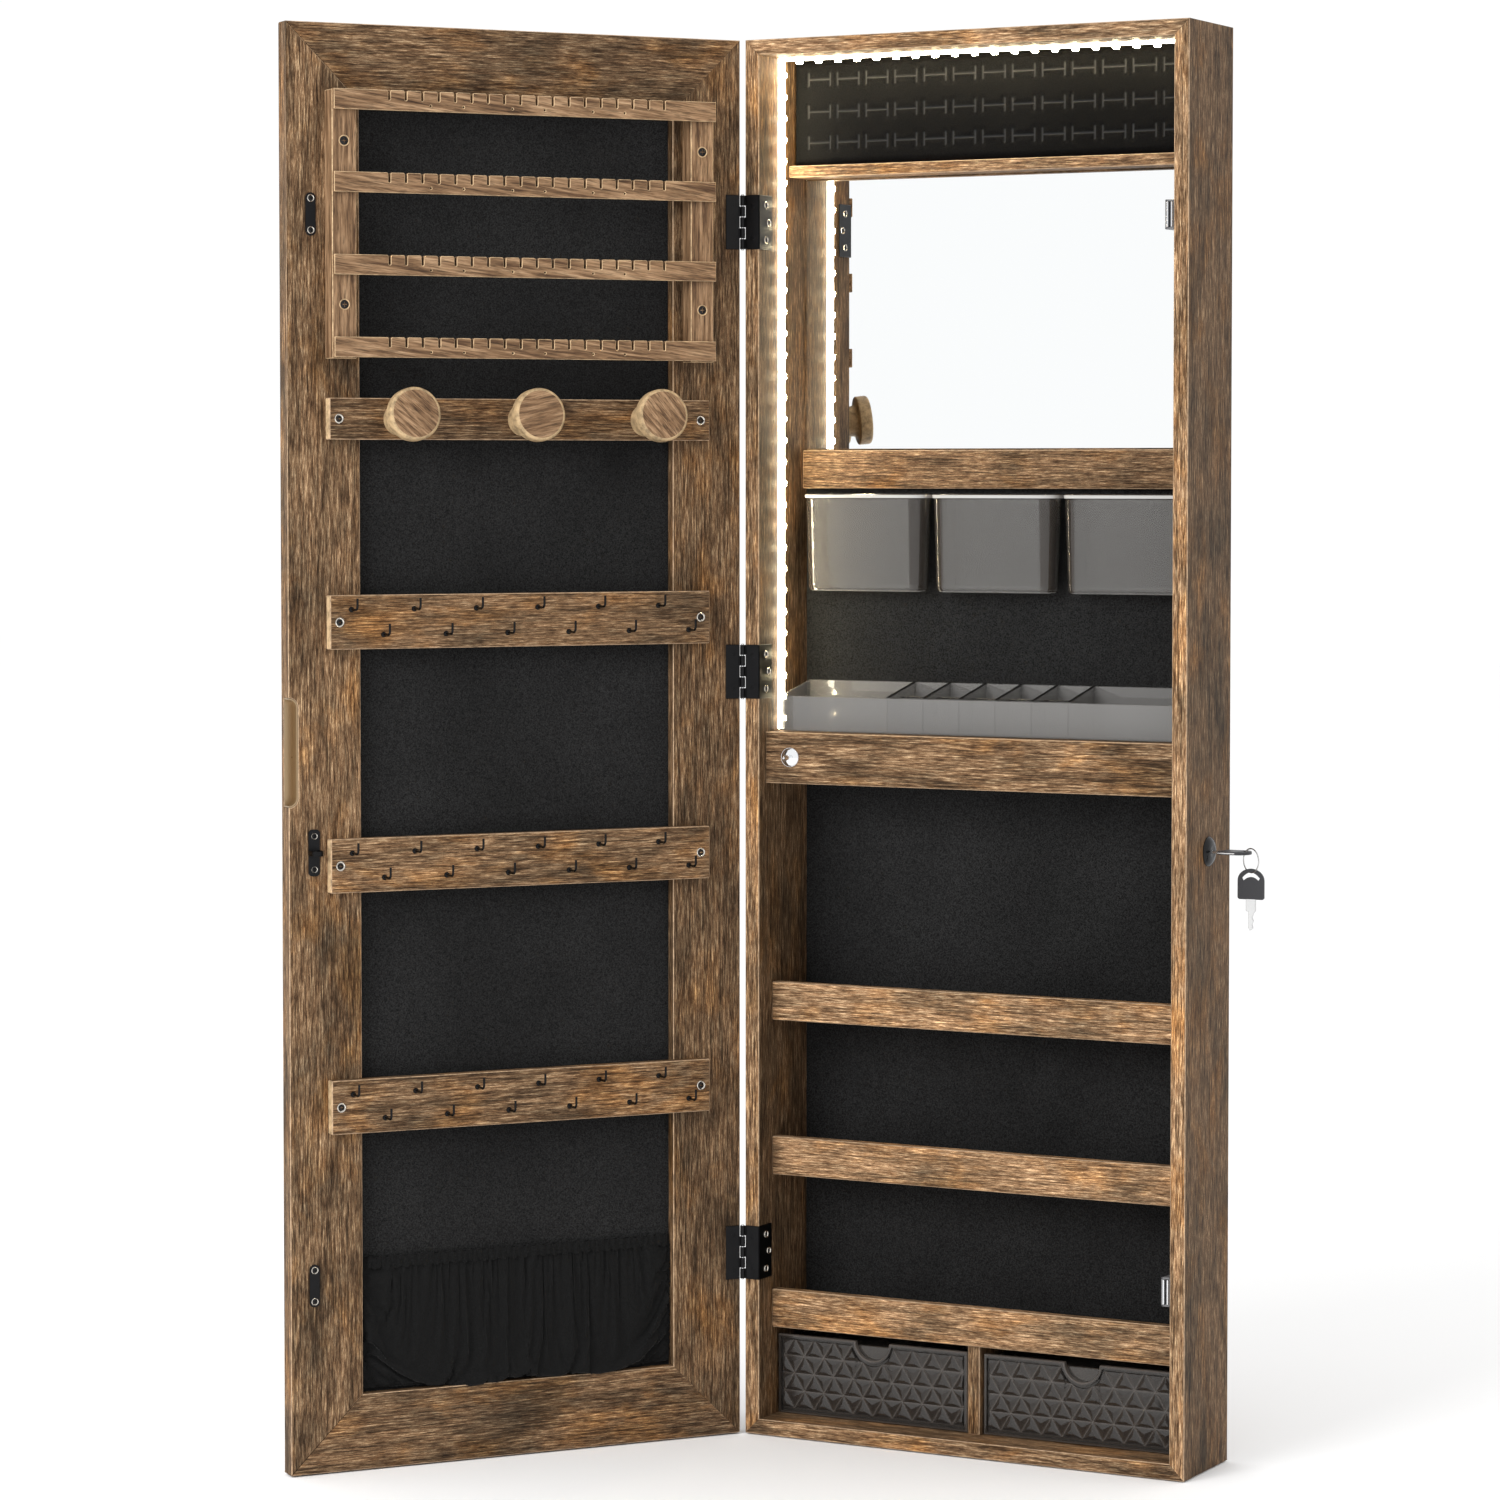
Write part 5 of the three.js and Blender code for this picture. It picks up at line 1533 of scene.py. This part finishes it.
key_plastic = grained("key_plastic", (0.030, 0.030, 0.033), 0.42, 1600, 0.15, 0.0001, 2, specular=0.35)
key_steel = metal("key_steel", (0.60, 0.60, 0.60), 0.22)
BOW_LONG, BOW_HALF, BOW_ARCH = 0.023, 0.0105, 0.009
BOW_THICK = 0.0024
BOW_SOFT = 0.0004
BOW_CORNER = 0.0012
BLADE_HALF = 0.0038
BLADE_THICK = 0.002
BLADE_SOFT = 0.0002


def bow_outlines(end):
    """A key's head in (u along, v across): square at its blade and arched at its end, and the bent eye that
    is cut through it, between two parabolas."""
    turn = np.linspace(-np.pi / 2, np.pi / 2, 17)
    arch = np.stack([end - BOW_ARCH + BOW_ARCH * np.cos(turn), BOW_HALF * np.sin(turn)], 1)
    foot = end - BOW_LONG
    square = [(foot + BOW_CORNER, BOW_HALF), (foot, BOW_HALF - BOW_CORNER), (foot, -BOW_HALF + BOW_CORNER),
              (foot + BOW_CORNER, -BOW_HALF)]
    sweep = np.linspace(-1, 1, 9)
    upper = np.stack([end - 0.0028 - 0.0042 * sweep**2, 0.0072 * sweep], 1)
    lower = np.stack([end - 0.0062 - 0.0030 * sweep[::-1] ** 2, 0.0060 * sweep[::-1]], 1)
    return [np.concatenate([arch, square]), np.concatenate([upper, lower])]


def along_x(p):
    return np.stack([p[:, 0], lock_y + p[:, 1], lock_z + p[:, 2]], -1)


key_low, key_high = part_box("key")
bow_foot = key_high[0] - BOW_LONG
flat_piece("key_bow", bow_outlines(key_high[0]), BOW_THICK, BOW_SOFT, along_x, [key_plastic], "lock_plug",
           ["key"])
# The blade's steel runs on through the bow, and its edge shows on both sides of the plastic.
half = BLADE_THICK / 2
blade = plank((side_x + 0.002, lock_y - BLADE_HALF, lock_z - half),
              (bow_foot + 0.001, lock_y + BLADE_HALF, lock_z + half), "x", BLADE_SOFT)
core = plank((bow_foot, lock_y - BOW_HALF - 0.0003, lock_z - 0.0006),
             (key_high[0] - BOW_ARCH, lock_y + BOW_HALF + 0.0003, lock_z + 0.0006), "x", BLADE_SOFT)
points, faces, _ = joined(blade, core)
piece("key_blade", points, faces, [key_steel], "lock_plug")

spare_low, spare_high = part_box("spare_key")
RING_RADIUS, RING_WIRE, RING_TURN = 0.009, 0.0005, -math.pi / 6
RING_STEPS, RING_SIDES = 64, 8
ring_top = spare_high[2] - 0.0006
ring_centre = np.array([key_high[0] + 0.0003, lock_y, ring_top - RING_RADIUS])
# The ring is a closed round wire: at each step of a circle, a small circle of its outward way and its axis.
turn = np.linspace(0, 2 * np.pi, RING_STEPS, endpoint=False)
flat = RING_RADIUS * np.sin(turn)
circle_path = ring_centre + np.stack([flat * math.cos(RING_TURN), flat * math.sin(RING_TURN),
                                      RING_RADIUS * np.cos(turn)], 1)
axis = np.array([-math.sin(RING_TURN), math.cos(RING_TURN), 0])
outward = ((circle_path - ring_centre) / RING_RADIUS)[:, None]
around = np.linspace(0, 2 * np.pi, RING_SIDES, endpoint=False)[:, None]
rings = circle_path[:, None] + RING_WIRE * (np.cos(around) * outward + np.sin(around) * axis)
i, j = np.meshgrid(np.arange(RING_STEPS), np.arange(RING_SIDES), indexing="ij")
here, ahead, beside = i * RING_SIDES, (i + 1) % RING_STEPS * RING_SIDES, (j + 1) % RING_SIDES
quads = np.stack([here + j, here + beside, ahead + beside, ahead + j], -1)
piece("key_ring", rings, quads.reshape(-1, 4).tolist(), [key_steel], "spare_key", ["spare_key"],
      smooth=60)

bow_top = ring_centre[2] - RING_RADIUS + 0.0030


def hanging(p):
    return np.stack([ring_centre[0] + p[:, 1], lock_y + p[:, 2], bow_top + p[:, 0]], -1)


flat_piece("spare_bow", bow_outlines(0.0), BOW_THICK, BOW_SOFT, hanging, [key_plastic], "spare_key")
# The spare's blade: a broad shank, then the narrow bit with two nicks and a slanted point.
shank = [(0.002, -BLADE_HALF), (0.002, BLADE_HALF), (-0.0085, BLADE_HALF), (-0.0105, 0.0022)]
nicks = [(-0.0135, 0.0012), (-0.0160, 0.0022), (-0.0185, 0.0012), (-0.0215, 0.0018)]
point = [(-0.0230, 0.0004), (-0.0230, -0.0008), (-0.0212, -0.0018), (-0.0092, -0.0018),
         (-0.0085, -BLADE_HALF)]
blade_outline = np.array(shank + nicks + point)[::-1] - (BOW_LONG, 0)
flat_piece("spare_blade", [blade_outline], BLADE_THICK, BLADE_SOFT, hanging, [key_steel], "spare_key")
